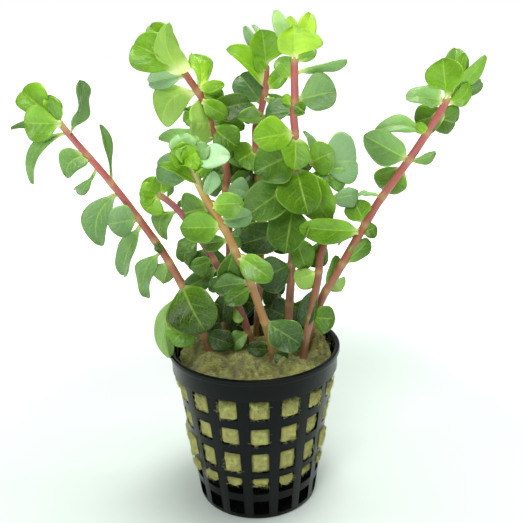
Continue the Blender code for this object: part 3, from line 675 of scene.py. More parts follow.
@dataclass(frozen=True)
class LeafFinish:
    """Glossy green leaf with paler veins, read from the blade's own map and shade."""

    dark: Colour = (0.010, 0.029, 0.002)
    middle: Colour = (0.080, 0.200, 0.005)
    bright: Colour = (0.226, 0.495, 0.016)
    # The young leaves' yellow-green, made brighter with painted light shining through the blade.
    young_and_backlit: Colour = (0.560, 0.870, 0.065)
    vein: Colour = (0.520, 0.780, 0.090)
    # These two colours are a painted bluish-white sheen: reflected light laid into the colour of dark and of
    # young leaves.
    painted_sheen: Colour = (0.102, 0.235, 0.100)
    pale_painted_sheen: Colour = (0.545, 0.820, 0.540)
    under: Colour = (0.310, 0.500, 0.110)
    foot: Colour = (0.860, 0.930, 0.420)
    veins: Veins = field(default_factory=Veins)

    def material(self) -> bpy.types.Material:
        """Builds the leaf material.

        Returns:
            The material, for pieces with a blade map and a shade attribute.
        """
        g = Graph("leaf_blade")
        shade = g.add("ShaderNodeAttribute", attribute_name="shade")
        tone, blue, underside = g.add("ShaderNodeSeparateColor", {0: shade.outputs[0]}).outputs
        blade = g.add("ShaderNodeUVMap", uv_map="blade")
        place = g.add("ShaderNodeSeparateXYZ", {0: blade.outputs[0]})
        across = g.math("ABSOLUTE", g.math("MULTIPLY_ADD", place.outputs[0], 2.0, -1.0))
        wobble = g.math("MULTIPLY_ADD", g.noise(g.object_place, 500.0, 2.0), 0.05, -0.025)
        along = g.math("ADD", place.outputs[1], wobble)
        lean = g.math("MULTIPLY", across, self.veins.lean)
        drop = g.math("MULTIPLY_ADD", g.math("POWER", across, 3.0), self.veins.bend, lean)
        row = g.math("MULTIPLY", g.math("SUBTRACT", along, drop), float(self.veins.pairs))
        off_vein = g.math("PINGPONG", row, 0.5)
        width = g.math("MULTIPLY_ADD", across, -0.06, 0.105)
        side = g.math("SUBTRACT", 1.0, g.ramp(off_vein, 0.0, width))
        side = g.math("MULTIPLY", side, g.ramp(across, 0.95, 0.35))
        side = g.math("MULTIPLY", side, g.ramp(place.outputs[1], 0.02, 0.14))
        rib_width = g.math("MULTIPLY_ADD", place.outputs[1], -0.075, 0.13)
        rib = g.math("SUBTRACT", 1.0, g.ramp(across, 0.0, rib_width))
        net = g.add(
            "ShaderNodeTexVoronoi", {"Vector": g.object_place, "Scale": 1100.0}, feature="DISTANCE_TO_EDGE"
        )
        fine = g.math("SUBTRACT", 1.0, g.ramp(net.outputs[0], 0.0, 0.12))
        vein = g.math("MAXIMUM", rib, g.math("MULTIPLY", side, 0.50))

        patchy = g.math("MULTIPLY_ADD", g.noise(g.object_place, 140.0, 2.0), 0.16, -0.08)
        fresh = g.math("ADD", g.ramp(place.outputs[1], 0.55, 0.0, -0.05, 0.13), patchy)
        tones = g.add("ShaderNodeValToRGB", {0: g.math("ADD", tone, fresh)})
        ramp = tones.color_ramp
        ramp.elements[0].color = (*self.dark, 1.0)
        ramp.elements[1].color = (*self.young_and_backlit, 1.0)
        for stop, colour in ((0.36, self.middle), (0.70, self.bright)):
            ramp.elements.new(stop).color = (*colour, 1.0)
        mottle = g.noise(g.object_place, 260.0, 4.0)
        colour = g.mix(g.ramp(mottle, 0.3, 0.75, 0.0, 0.32), tones.outputs[0], (0.10, 0.30, 0.03), "MULTIPLY")
        # Painted sheen: the leaf's blue share mixes in a bluish-white reflection of the light.
        painted_sheen = g.mix(g.ramp(tone, 0.15, 0.75), self.painted_sheen, self.pale_painted_sheen)
        colour = g.mix(g.math("MULTIPLY", blue, 0.8), colour, painted_sheen)
        colour = g.mix(g.math("MULTIPLY", underside, 0.62), colour, self.under)
        colour = g.mix(g.math("MULTIPLY", fine, 0.08), colour, self.vein)
        colour = g.mix(g.ramp(across, 0.90, 0.985, 0.0, 0.30), colour, self.vein)
        colour = g.mix(g.math("MULTIPLY", vein, g.ramp(tone, 0.0, 0.7, 0.20, 0.42)), colour, self.vein)
        foot = g.ramp(place.outputs[1], g.math("MULTIPLY_ADD", tone, 0.24, 0.10), 0.02)
        colour = g.mix(g.math("MULTIPLY", foot, g.ramp(tone, 0.2, 0.8, 0.35, 0.9)), colour, self.foot)

        height = g.math("MULTIPLY_ADD", fine, -0.25, g.math("MULTIPLY", vein, -0.8))
        height = g.math("MULTIPLY_ADD", g.noise(g.object_place, 1500.0, 3.0), 0.5, height)
        g.relief(height, 0.00008, 0.8)
        gloss = g.ramp(g.noise(g.object_place, 320.0, 3.0), 0.3, 0.7, 0.24, 0.38)
        gloss = g.math("MULTIPLY_ADD", underside, 0.15, gloss)
        g.shader.inputs["Specular IOR Level"].default_value = 0.34
        return g.finish(colour, gloss)


@dataclass(frozen=True)
class StemFinish:
    """Smooth stem skin that reddens upwards, with pale rings at the nodes."""

    tint: Tint
    low: Colour
    middle: Colour
    top: Colour
    ring: Colour = (0.48, 0.32, 0.12)
    crown: Colour = (0.52, 0.58, 0.22)
    paling: float = 0.7
    paling_length: float = 0.003

    def material(self, bottom: float, height: float) -> bpy.types.Material:
        """Builds the skin.

        Args:
            bottom: where the stem leaves the wool, in metres.
            height: where it ends, in metres.

        Returns:
            The material.
        """
        g = Graph("stem_skin_" + self.tint.value)
        split = g.add("ShaderNodeSeparateXYZ", {0: g.object_place})
        level = g.ramp(split.outputs[2], bottom, height)
        level = g.math("SUBTRACT", level, 0.15)
        level = g.math("MULTIPLY_ADD", g.noise(g.object_place, 90.0, 2.0), 0.30, level)
        tones = g.add("ShaderNodeValToRGB", {0: level})
        ramp = tones.color_ramp
        ramp.elements[0].color = (*self.low, 1.0)
        ramp.elements[1].color = (*self.top, 1.0)
        ramp.elements.new(0.55).color = (*self.middle, 1.0)
        streaks = g.noise(g.stretched(g.object_place, (1.0, 1.0, 0.09)), 1900.0, 3.0)
        colour = g.mix(g.ramp(streaks, 0.35, 0.7, 0.0, 0.45), tones.outputs[0], (0.62, 0.42, 0.22), "OVERLAY")
        blotch = g.ramp(g.noise(g.object_place, 420.0, 4.0), 0.52, 0.72, 0.0, 0.35)
        colour = g.mix(blotch, colour, (0.30, 0.11, 0.05))
        ring = g.add("ShaderNodeAttribute", attribute_name="ring").outputs[2]
        colour = g.mix(g.math("MULTIPLY", ring, 0.6), colour, self.ring)
        paling = g.ramp(split.outputs[2], height - self.paling_length, height - 0.0005, 0.0, self.paling)
        colour = g.mix(paling, colour, self.crown)
        g.relief(streaks, 0.00009, 0.6)
        g.shader.inputs["Specular IOR Level"].default_value = 0.5
        g.shader.inputs["Coat Weight"].default_value = 0.1
        g.shader.inputs["Coat Roughness"].default_value = 0.35
        return g.finish(colour, g.ramp(streaks, 0.3, 0.7, 0.36, 0.52))


@dataclass(frozen=True)
class PotFinish:
    """Charcoal moulded plastic with a fine skin and faint water marks."""

    plastic: Colour = (0.0012, 0.0024, 0.0026)
    film: Colour = (0.012, 0.017, 0.017)

    def material(self) -> bpy.types.Material:
        """Builds the plastic.

        Returns:
            The material.
        """
        g = Graph("pot_plastic")
        marks = g.noise(g.stretched(g.object_place, (1.0, 1.0, 0.35)), 160.0, 5.0, 0.4)
        colour = g.mix(g.ramp(marks, 0.50, 0.80, 0.0, 0.30), self.plastic, self.film)
        grain = g.noise(g.object_place, 2600.0, 3.0)
        g.relief(grain, 0.00005, 0.5)
        g.shader.inputs["Specular IOR Level"].default_value = 0.13
        return g.finish(colour, g.ramp(marks, 0.35, 0.7, 0.18, 0.30))


@dataclass(frozen=True)
class WoolFinish:
    """Matted straw-green mineral fibres, with painted shade in the creases and painted light below the
    collar.
    """

    shade: Colour = (0.140, 0.145, 0.024)
    straw: Colour = (0.420, 0.450, 0.075)
    pale: Colour = (0.760, 0.740, 0.250)
    # A painted shade colour for the creases and dips of the wool.
    crease: Colour = (0.085, 0.080, 0.014)
    tea: Colour = (0.420, 0.360, 0.110)
    # A painted light colour for the wool below the collar, as if lit through the windows.
    painted_window_light: Colour = (0.960, 0.940, 0.270)
    painted_window_light_share: float = 0.30

    def material(self, name: str, lift: float) -> bpy.types.Material:
        """Builds the wool.

        Args:
            name: the material's name.
            lift: how far the colour is moved towards the pale straw.

        Returns:
            The material.
        """
        g = Graph(name)
        lumps = g.noise(g.object_place, 240.0, 5.0, 0.6)
        strands = g.noise(g.stretched(g.object_place, (0.25, 1.0, 1.0)), 2400.0, 4.0, 1.8)
        crossed = g.noise(g.stretched(g.object_place, (1.0, 0.8, 0.25)), 2100.0, 4.0, 1.8)
        colour = g.mix(g.ramp(lumps, 0.30, 0.62), self.shade, self.straw)
        colour = g.mix(g.ramp(strands, 0.45, 0.70, 0.0, 0.75), colour, self.pale)
        colour = g.mix(g.ramp(crossed, 0.52, 0.72, 0.0, 0.5), colour, self.shade)
        colour = g.mix(lift, colour, self.pale)
        # Painted shade: the wool is darkened in the creases between its clods and where its surface dips.
        hollow = g.add("ShaderNodeAttribute", attribute_name="hollow").outputs[2]
        colour = g.mix(g.math("MULTIPLY", hollow, 0.72), colour, self.crease)
        patch = g.ramp(g.noise(g.object_place, 130.0, 2.0), 0.50, 0.66, 0.0, 0.3)
        colour = g.mix(patch, colour, self.tea)
        height = g.add("ShaderNodeSeparateXYZ", {0: g.object_place}).outputs[2]
        # Painted light: below the collar, where the windows are, the wool is painted brighter.
        colour = g.mix(g.ramp(height, 0.0400, 0.0355, 0.0, self.painted_window_light_share), colour, self.painted_window_light)
        g.relief(g.math("ADD", strands, crossed), 0.0005, 0.9)
        g.shader.inputs["Specular IOR Level"].default_value = 0.2
        g.shader.inputs["Sheen Weight"].default_value = 0.25
        g.shader.inputs["Sheen Roughness"].default_value = 0.6
        return g.finish(colour, 0.92)


@dataclass
class NetPot:
    """The moulded net pot: a tapered wall of windows under a plain collar with a rolled lip."""

    height: float = 48.1
    rim_radius: float = 25.0
    lip_inner_radius: float = 24.0
    lip_drop: float = 1.3
    collar_radius: float = 24.3
    collar_bottom: float = 41.5
    radius_top: float = 23.2
    radius_bottom: float = 17.8
    wall: float = 0.9
    floor: float = 1.2
    foot_bevel: float = 0.5
    columns: int = 16
    phase: float = 2.2
    window_angle: float = 14.0
    corner: float = 0.45
    rows: tuple[tuple[float, float], ...] = (
        (1.6, 6.5), (9.1, 14.9), (16.8, 23.5), (26.2, 31.9), (34.7, 40.9),
    )
    steps: int = 128
    ribs: int = 32
    rib_width: float = 0.5
    rib_depth: float = 0.35
    finish: PotFinish = field(default_factory=PotFinish)

    def body_radius(self, z: float) -> float:
        """Outer radius of the tapered wall at a height."""
        return self.radius_bottom + (self.radius_top - self.radius_bottom) * z / self.collar_bottom

    def profile(self) -> tuple[tuple[float, float], ...]:
        """The pot's section from the inside of its floor, over the lip and down to the foot.

        Returns:
            Points as a radius and a height, in millimetres.
        """
        lip = self.height - self.lip_drop
        inner = self.collar_radius - self.wall
        return (
            (0.0, self.floor),
            (self.body_radius(self.floor) - self.wall - 0.4, self.floor),
            (self.body_radius(self.floor) - self.wall, self.floor + 0.4),
            (self.radius_top - self.wall, self.collar_bottom),
            (inner, self.collar_bottom + 1.5),
            (inner, lip),
            (inner + 0.15, self.height - 0.45),
            (inner + 0.45, self.height - 0.12),
            (self.lip_inner_radius + 0.2, self.height),
            (self.rim_radius - 0.35, self.height),
            (self.rim_radius - 0.1, self.height - 0.12),
            (self.rim_radius, self.height - 0.4),
            (self.rim_radius, lip),
            (self.rim_radius - 0.12, lip - 0.22),
            (self.collar_radius + 0.12, lip - 0.35),
            (self.collar_radius, lip - 0.7),
            (self.collar_radius, self.collar_bottom + 0.35),
            (self.collar_radius - 0.12, self.collar_bottom + 0.08),
            (self.radius_top + 0.5, self.collar_bottom),
            (self.radius_top, self.collar_bottom - 0.1),
            (self.body_radius(self.foot_bevel), self.foot_bevel),
            (self.radius_bottom - 0.15, 0.14),
            (self.radius_bottom - self.foot_bevel, 0.0),
            (0.0, 0.0),
        )

    def turned(self) -> bmesh.types.BMesh:
        """Spins the section into the closed pot.

        Returns:
            The pot without its windows.
        """
        shape = bmesh.new()
        corners = [shape.verts.new((r * MM, 0.0, z * MM)) for r, z in self.profile()]
        edges = [shape.edges.new(pair) for pair in zip(corners, corners[1:])]
        bmesh.ops.spin(
            shape, geom=corners + edges, cent=(0, 0, 0), axis=(0, 0, 1), angle=math.tau,
            steps=self.steps, use_merge=True, use_duplicate=False,
        )
        bmesh.ops.remove_doubles(shape, verts=shape.verts, dist=0.000001)
        bmesh.ops.recalc_face_normals(shape, faces=shape.faces)
        return shape

    def window_cutters(self) -> bmesh.types.BMesh:
        """One block with rounded corners for each window.

        Returns:
            All the blocks in one bmesh.
        """
        shape = bmesh.new()
        reach = self.rim_radius * 1.2
        for bottom, top in self.rows:
            middle = (bottom + top) / 2
            width = 2 * self.body_radius(middle) * math.sin(math.radians(self.window_angle / 2))
            for column in range(self.columns):
                block = bmesh.ops.create_cube(shape, size=1.0)["verts"]
                bmesh.ops.scale(shape, vec=(reach / 2 * MM, width * MM, (top - bottom) * MM), verts=block)
                bmesh.ops.translate(shape, vec=(reach * 0.75 * MM, 0.0, middle * MM), verts=block)
                radial = {
                    edge for vert in block for edge in vert.link_edges
                    if abs(edge.verts[0].co.x - edge.verts[1].co.x) > MM
                }
                made = bmesh.ops.bevel(
                    shape, geom=list(radial), offset=self.corner * MM, offset_type="OFFSET", affect="EDGES",
                    segments=3, profile=0.5, material=-1, clamp_overlap=True,
                )
                turned = {v for v in block if v.is_valid} | {v for f in made["faces"] for v in f.verts}
                turned |= {v for vert in list(turned) for edge in vert.link_edges for v in edge.verts}
                turn = Matrix.Rotation(math.radians(self.phase + column * 360 / self.columns), 3, "Z")
                bmesh.ops.rotate(shape, cent=(0, 0, 0), matrix=turn, verts=list(turned))
        return shape

    def build(self) -> bpy.types.Object:
        """Turns the pot, cuts its windows and adds its ribs.

        Returns:
            The pot.
        """
        material = self.finish.material()
        pot = mesh_object("pot", self.turned(), material)
        cutter = mesh_object("window_cutters", self.window_cutters(), material)
        cut = pot.modifiers.new("windows", "BOOLEAN")
        cut.operation = "DIFFERENCE"
        cut.solver = "EXACT"
        cut.object = cutter
        bake_modifiers(pot)
        bpy.data.objects.remove(cutter, do_unlink=True)
        self.add_ribs(pot)
        pot.data.shade_smooth()
        pot.data.set_sharp_from_angle(angle=math.radians(38))
        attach(pot, "root")
        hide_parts("net_pot")
        LOG.info("net pot: %d faces", len(pot.data.polygons))
        return pot

    def add_ribs(self, pot: bpy.types.Object) -> None:
        """Adds the upright ribs inside the collar.

        Args:
            pot: the pot, whose mesh takes them.
        """
        shape = bmesh.new()
        shape.from_mesh(pot.data)
        bottom, top = self.collar_bottom + 1.2, self.height - 1.6
        face = self.collar_radius - self.wall
        for rib in range(self.ribs):
            block = bmesh.ops.create_cube(shape, size=1.0)["verts"]
            bmesh.ops.scale(
                shape, vec=(2 * self.rib_depth * MM, self.rib_width * MM, (top - bottom) * MM), verts=block
            )
            bmesh.ops.translate(shape, vec=(face * MM, 0.0, (bottom + top) / 2 * MM), verts=block)
            angle = math.radians(self.phase + (rib + 0.5) * 360 / self.ribs)
            bmesh.ops.rotate(shape, cent=(0, 0, 0), matrix=Matrix.Rotation(angle, 3, "Z"), verts=block)
        shape.to_mesh(pot.data)
        shape.free()


@dataclass
class GrowingWool:
    """The plug of wool: a lumpy closed body that swells through the windows, and loose fibres."""

    pot: NetPot
    bottom: float = 12.0
    top: float = 45.2
    dome: float = 2.0
    clearance: float = 0.25
    side_share: float = 0.45
    sides: int = 256
    rings: int = 180
    clumps: tuple[tuple[float, float, float, float], ...] = (
        (-14.5, 6.0, 4.0, 4.0), (18.2, 3.0, 6.4, 3.2), (-12.5, -8.5, 3.2, 3.4),
        (-2.0, -13.0, 3.4, 3.6), (10.0, -12.5, 3.0, 3.6), (-21.3, -1.5, -5.6, 4.6),
        (22.2, -4.5, -4.4, 3.4),
    )
    settled: float = 0.9
    window_swells: tuple[float, float] = (0.8, 2.1)
    top_fibres: int = 4200
    side_fibres: int = 3992
    fibre_seed: int = 11
    fibre_spread: float = 22.0
    fibre_lengths: tuple[float, float] = (0.9, 3.4)
    fibre_radii: tuple[float, float] = (0.022, 0.052)
    fibre_bows: tuple[float, float] = (0.1, 0.55)
    fibre_drift: float = 0.7
    finish: WoolFinish = field(default_factory=WoolFinish)

    def top_height(self, x: float, y: float) -> float:
        """Height of the wool's upper face, with its raised clumps.

        Args:
            x: sideways place, in millimetres.
            y: place from front to back, in millimetres.

        Returns:
            The height in millimetres.
        """
        height = self.top - self.dome * (math.hypot(x, y) / self.pot.lip_inner_radius) ** 4
        for clump_x, clump_y, rise, spread in self.clumps:
            away = math.hypot(x - clump_x, y - clump_y) / spread
            height += rise * math.exp(-away * away)
        place = Vector((x, y, 0.0))
        return height + self.clod(place) - self.settled + 0.25 * rough(place, 1.3, 7.0)

    @staticmethod
    def clod(place: Vector) -> float:
        """Height of the matted clods above the creases between them."""
        return 2.4 * abs(rough(place, 0.16)) ** 0.6 + 1.4 * abs(rough(place, 0.42, 3.0)) ** 0.7

    def crease(self, x: float, y: float) -> float:
        """How deep in a crease a place on the upper face lies.

        Args:
            x: sideways place, in millimetres.
            y: place from front to back, in millimetres.

        Returns:
            The share, from 0 on a clod to 1 in a crease.
        """
        around = [
            self.top_height(x + 2.2 * math.cos(turn), y + 2.2 * math.sin(turn))
            for turn in (0.0, math.tau / 5, 2 * math.tau / 5, 3 * math.tau / 5, 4 * math.tau / 5)
        ]
        return smooth_step(0.0, 0.9, sum(around) / len(around) - self.top_height(x, y))

    def swell(self, angle: float, z: float) -> float:
        """How far the side stands out through the windows.

        Args:
            angle: direction from the pot's axis, in radians.
            z: height in millimetres.

        Returns:
            The distance past the plug's plain side, in millimetres.
        """
        pitch = 360.0 / self.pot.columns
        turned = math.degrees(angle) - self.pot.phase
        off = abs((turned + pitch / 2) % pitch - pitch / 2)
        column = math.floor((turned + pitch / 2) / pitch) % self.pot.columns
        open_wide = smooth_step(self.pot.window_angle / 2, self.pot.window_angle / 2 - 1.5, off)
        best = 0.0
        for row, (low, high) in enumerate(self.pot.rows):
            inside = min(smooth_step(low, low + 0.9, z), smooth_step(high, high - 0.9, z))
            chance = random.Random(f"{column} {row}").uniform(*self.window_swells)
            best = max(best, inside * chance)
        return open_wide * best * self.pot.wall

    def body(self) -> bmesh.types.BMesh:
        """Lays a sphere's rings out as the plug's top, side and ragged underside.

        Returns:
            The plug as a closed bmesh, with each vertex's painted shade for creases and dips.
        """
        shape = bmesh.new()
        hollow = shape.verts.layers.float.new("hollow")
        bmesh.ops.create_uvsphere(shape, u_segments=self.sides, v_segments=self.rings, radius=1.0)
        for vert in shape.verts:
            angle = math.atan2(vert.co.y, vert.co.x)
            level = 1 - 2 * math.acos(max(-1.0, min(1.0, vert.co.z))) / math.pi
            share = min(1.0, (1 - abs(level)) / (1 - self.side_share))
            fall = min(1.0, max(0.0, (self.side_share - level) / (2 * self.side_share)))
            around = Vector((math.cos(angle), math.sin(angle), 0.0)) * 20.0
            ragged = 1.6 * rough(around, 0.22) + 0.9 * rough(around, 0.6, 5.0)
            bottom = self.bottom + ragged * share
            edge = self.top + (bottom - self.top) * fall
            radius = self.pot.body_radius(min(edge, self.pot.collar_bottom)) - self.pot.wall - self.clearance
            if abs(level) <= self.side_share:
                radius += self.swell(angle, edge)
            radius += smooth_step(self.pot.collar_bottom, self.pot.collar_bottom + 1.8, edge) * (
                0.75 + 0.45 * rough(around, 0.35, 9.0)
            )
            radius *= share
            x, y = radius * math.cos(angle), radius * math.sin(angle)
            top = self.top_height(x, y)
            z = edge + (top - self.top) * max(0.0, 1 - 4 * fall)
            place = Vector((x, y, z))
            depth = 0.34 * rough(place, 0.8) + 0.18 * rough(place, 2.2, 2.0)
            # Painted shade: creases on the top and dips in the surface are marked to be painted darker.
            crease = self.crease(x, y) if level > self.side_share else 0.0
            vert[hollow] = max(crease, smooth_step(0.15, -0.25, depth))
            outward = Vector((x, y, 0.0)) / max(radius, 1.0) * (share >= 1.0)
            outward.z = (1.0 if level > 0 else -1.0) * (share < 1.0)
            vert.co = (place + outward * depth) * MM
        return shape

    def bend(
        self, strand: list[bmesh.types.BMVert], foot: Vector, way: Vector, out: Vector, chance: random.Random
    ) -> None:
        """Draws a unit sphere out into one bent fibre.

        Args:
            strand: the sphere's vertices.
            foot: where the fibre's middle lies, in millimetres.
            way: the direction it runs in.
            out: the direction it bows in.
            chance: the source of its length and bend.
        """
        length = chance.uniform(*self.fibre_lengths)
        radius = chance.uniform(*self.fibre_radii)
        bow = chance.uniform(*self.fibre_bows)
        drift = chance.uniform(-self.fibre_drift, self.fibre_drift)
        beside = out.cross(way).normalized()
        for vert in strand:
            along = vert.co.z
            curve = way * (along * length / 2) + out * (bow * (1 - along * along))
            curve -= beside * (drift * along * along)
            vert.co = (foot + curve + (beside * vert.co.x + out * vert.co.y) * radius) * MM

    def top_fibre(self, chance: random.Random) -> tuple[Vector, Vector, Vector]:
        """Picks a fibre on the wool's upper face.

        Args:
            chance: the source of its place and run.

        Returns:
            Its middle in millimetres, the way it runs and the way it bows.
        """
        radius = self.fibre_spread * math.sqrt(chance.random())
        angle = chance.uniform(0, math.tau)
        x, y = radius * math.cos(angle), radius * math.sin(angle)
        turn = chance.uniform(0, math.tau)
        way = Vector((math.cos(turn), math.sin(turn), chance.uniform(-0.12, 0.22))).normalized()
        return Vector((x, y, self.top_height(x, y) - 0.1)), way, Vector((0.0, 0.0, 1.0))

    def side_fibre(self, chance: random.Random) -> tuple[Vector, Vector, Vector]:
        """Picks a fibre in one of the windows.

        Args:
            chance: the source of its place and run.

        Returns:
            Its middle in millimetres, the way it runs and the way it bows.
        """
        up = Vector((0.0, 0.0, 1.0))
        column = chance.randrange(self.pot.columns)
        low, high = chance.choice(self.pot.rows[1:])
        spread = math.radians(self.pot.window_angle / 2 - 1.2)
        angle = math.radians(self.pot.phase + column * 360 / self.pot.columns)
        angle += chance.uniform(-spread, spread)
        z = chance.uniform(max(low, self.bottom) + 0.4, high - 0.4)
        out = Vector((math.cos(angle), math.sin(angle), 0.0))
        radius = self.pot.body_radius(z) - self.pot.wall - self.clearance + self.swell(angle, z)
        turn = chance.uniform(0, math.pi)
        way = (up.cross(out) * math.cos(turn) + up * math.sin(turn)).normalized()
        return out * (radius - 0.1) + up * z, way, out

    def fibres(self) -> bmesh.types.BMesh:
        """Scatters loose fibres over the top and in the windows.

        Returns:
            All the fibres in one bmesh.
        """
        shape = bmesh.new()
        chance = random.Random(self.fibre_seed)
        shape.verts.layers.int.new("number")
        hollow = shape.verts.layers.float.new("hollow")
        number = shape.verts.layers.int["number"]
        bmesh.ops.create_uvsphere(shape, u_segments=3, v_segments=5, radius=1.0)
        wanted = self.top_fibres + self.side_fibres
        made = 1
        while made < wanted:
            copy = bmesh.ops.duplicate(shape, geom=shape.verts[:] + shape.edges[:] + shape.faces[:])["geom"]
            for vert in copy:
                if isinstance(vert, bmesh.types.BMVert):
                    vert[number] += made
            made *= 2
        strands: list[list[bmesh.types.BMVert]] = [[] for _ in range(made)]
        for vert in shape.verts:
            strands[vert[number]].append(vert)
        for count, strand in enumerate(strands):
            kind = self.top_fibre if count % wanted < self.top_fibres else self.side_fibre
            foot, way, out = kind(chance)
            self.bend(strand, foot, way, out, chance)
            # Fibres lying in a crease take its painted shade.
            depth = self.crease(foot.x, foot.y) if out.z > 0.5 else 0.0
            for vert in strand:
                vert[hollow] = depth
        return shape

    def build(self) -> list[bpy.types.Object]:
        """Builds the plug and its fibres.

        Returns:
            The two pieces.
        """
        plug = mesh_object("wool_plug", self.body(), self.finish.material("wool_matted", 0.0))
        loose = mesh_object("wool_fibres", self.fibres(), self.finish.material("wool_fibre", 0.62))
        for piece in (plug, loose):
            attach(piece, "root")
            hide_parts("growing_wool")
        LOG.info("growing wool: %d faces", len(plug.data.polygons) + len(loose.data.polygons))
        return [plug, loose]


@dataclass
class StemLine:
    """The centre line of a stem, smoothed through its route."""

    shoot: Shoot
    ease: float = 1.6

    @property
    def low(self) -> float:
        """Seen height of the stem's foot."""
        return self.shoot.route[0][1]

    @property
    def high(self) -> float:
        """Seen height of the stem's end."""
        return self.shoot.route[-1][1]

    def corner(self, height: float) -> Vector:
        """The place on the plain route at a seen height.

        Args:
            height: the seen height, in millimetres.

        Returns:
            The place in millimetres.
        """
        route = self.shoot.route
        for (x0, z0), (x1, z1) in zip(route, route[1:]):
            if height <= z1:
                break
        share = (height - z0) / (z1 - z0)
        start, end = self.shoot.depths
        depth = start + (end - start) * (height - self.low) / (self.high - self.low)
        return placed(x0 + (x1 - x0) * share, height, depth)

    def point(self, height: float) -> Vector:
        """The place on the smoothed line at a seen height, in millimetres."""
        reach = min(self.ease, max(0.0, self.high - height))
        return (self.corner(height - reach) + self.corner(height) * 2 + self.corner(height + reach)) / 4

    def way(self, height: float) -> Vector:
        """Unit direction of the line at a seen height."""
        top = min(height + 0.6, self.high)
        return (self.point(top) - self.point(top - 1.2)).normalized()

    def radius(self, height: float) -> float:
        """The stem's plain radius at a seen height, in millimetres."""
        share = min(1.0, max(0.0, (height - self.low) / (self.high - self.low)))
        return self.shoot.radii[0] + (self.shoot.radii[1] - self.shoot.radii[0]) * share


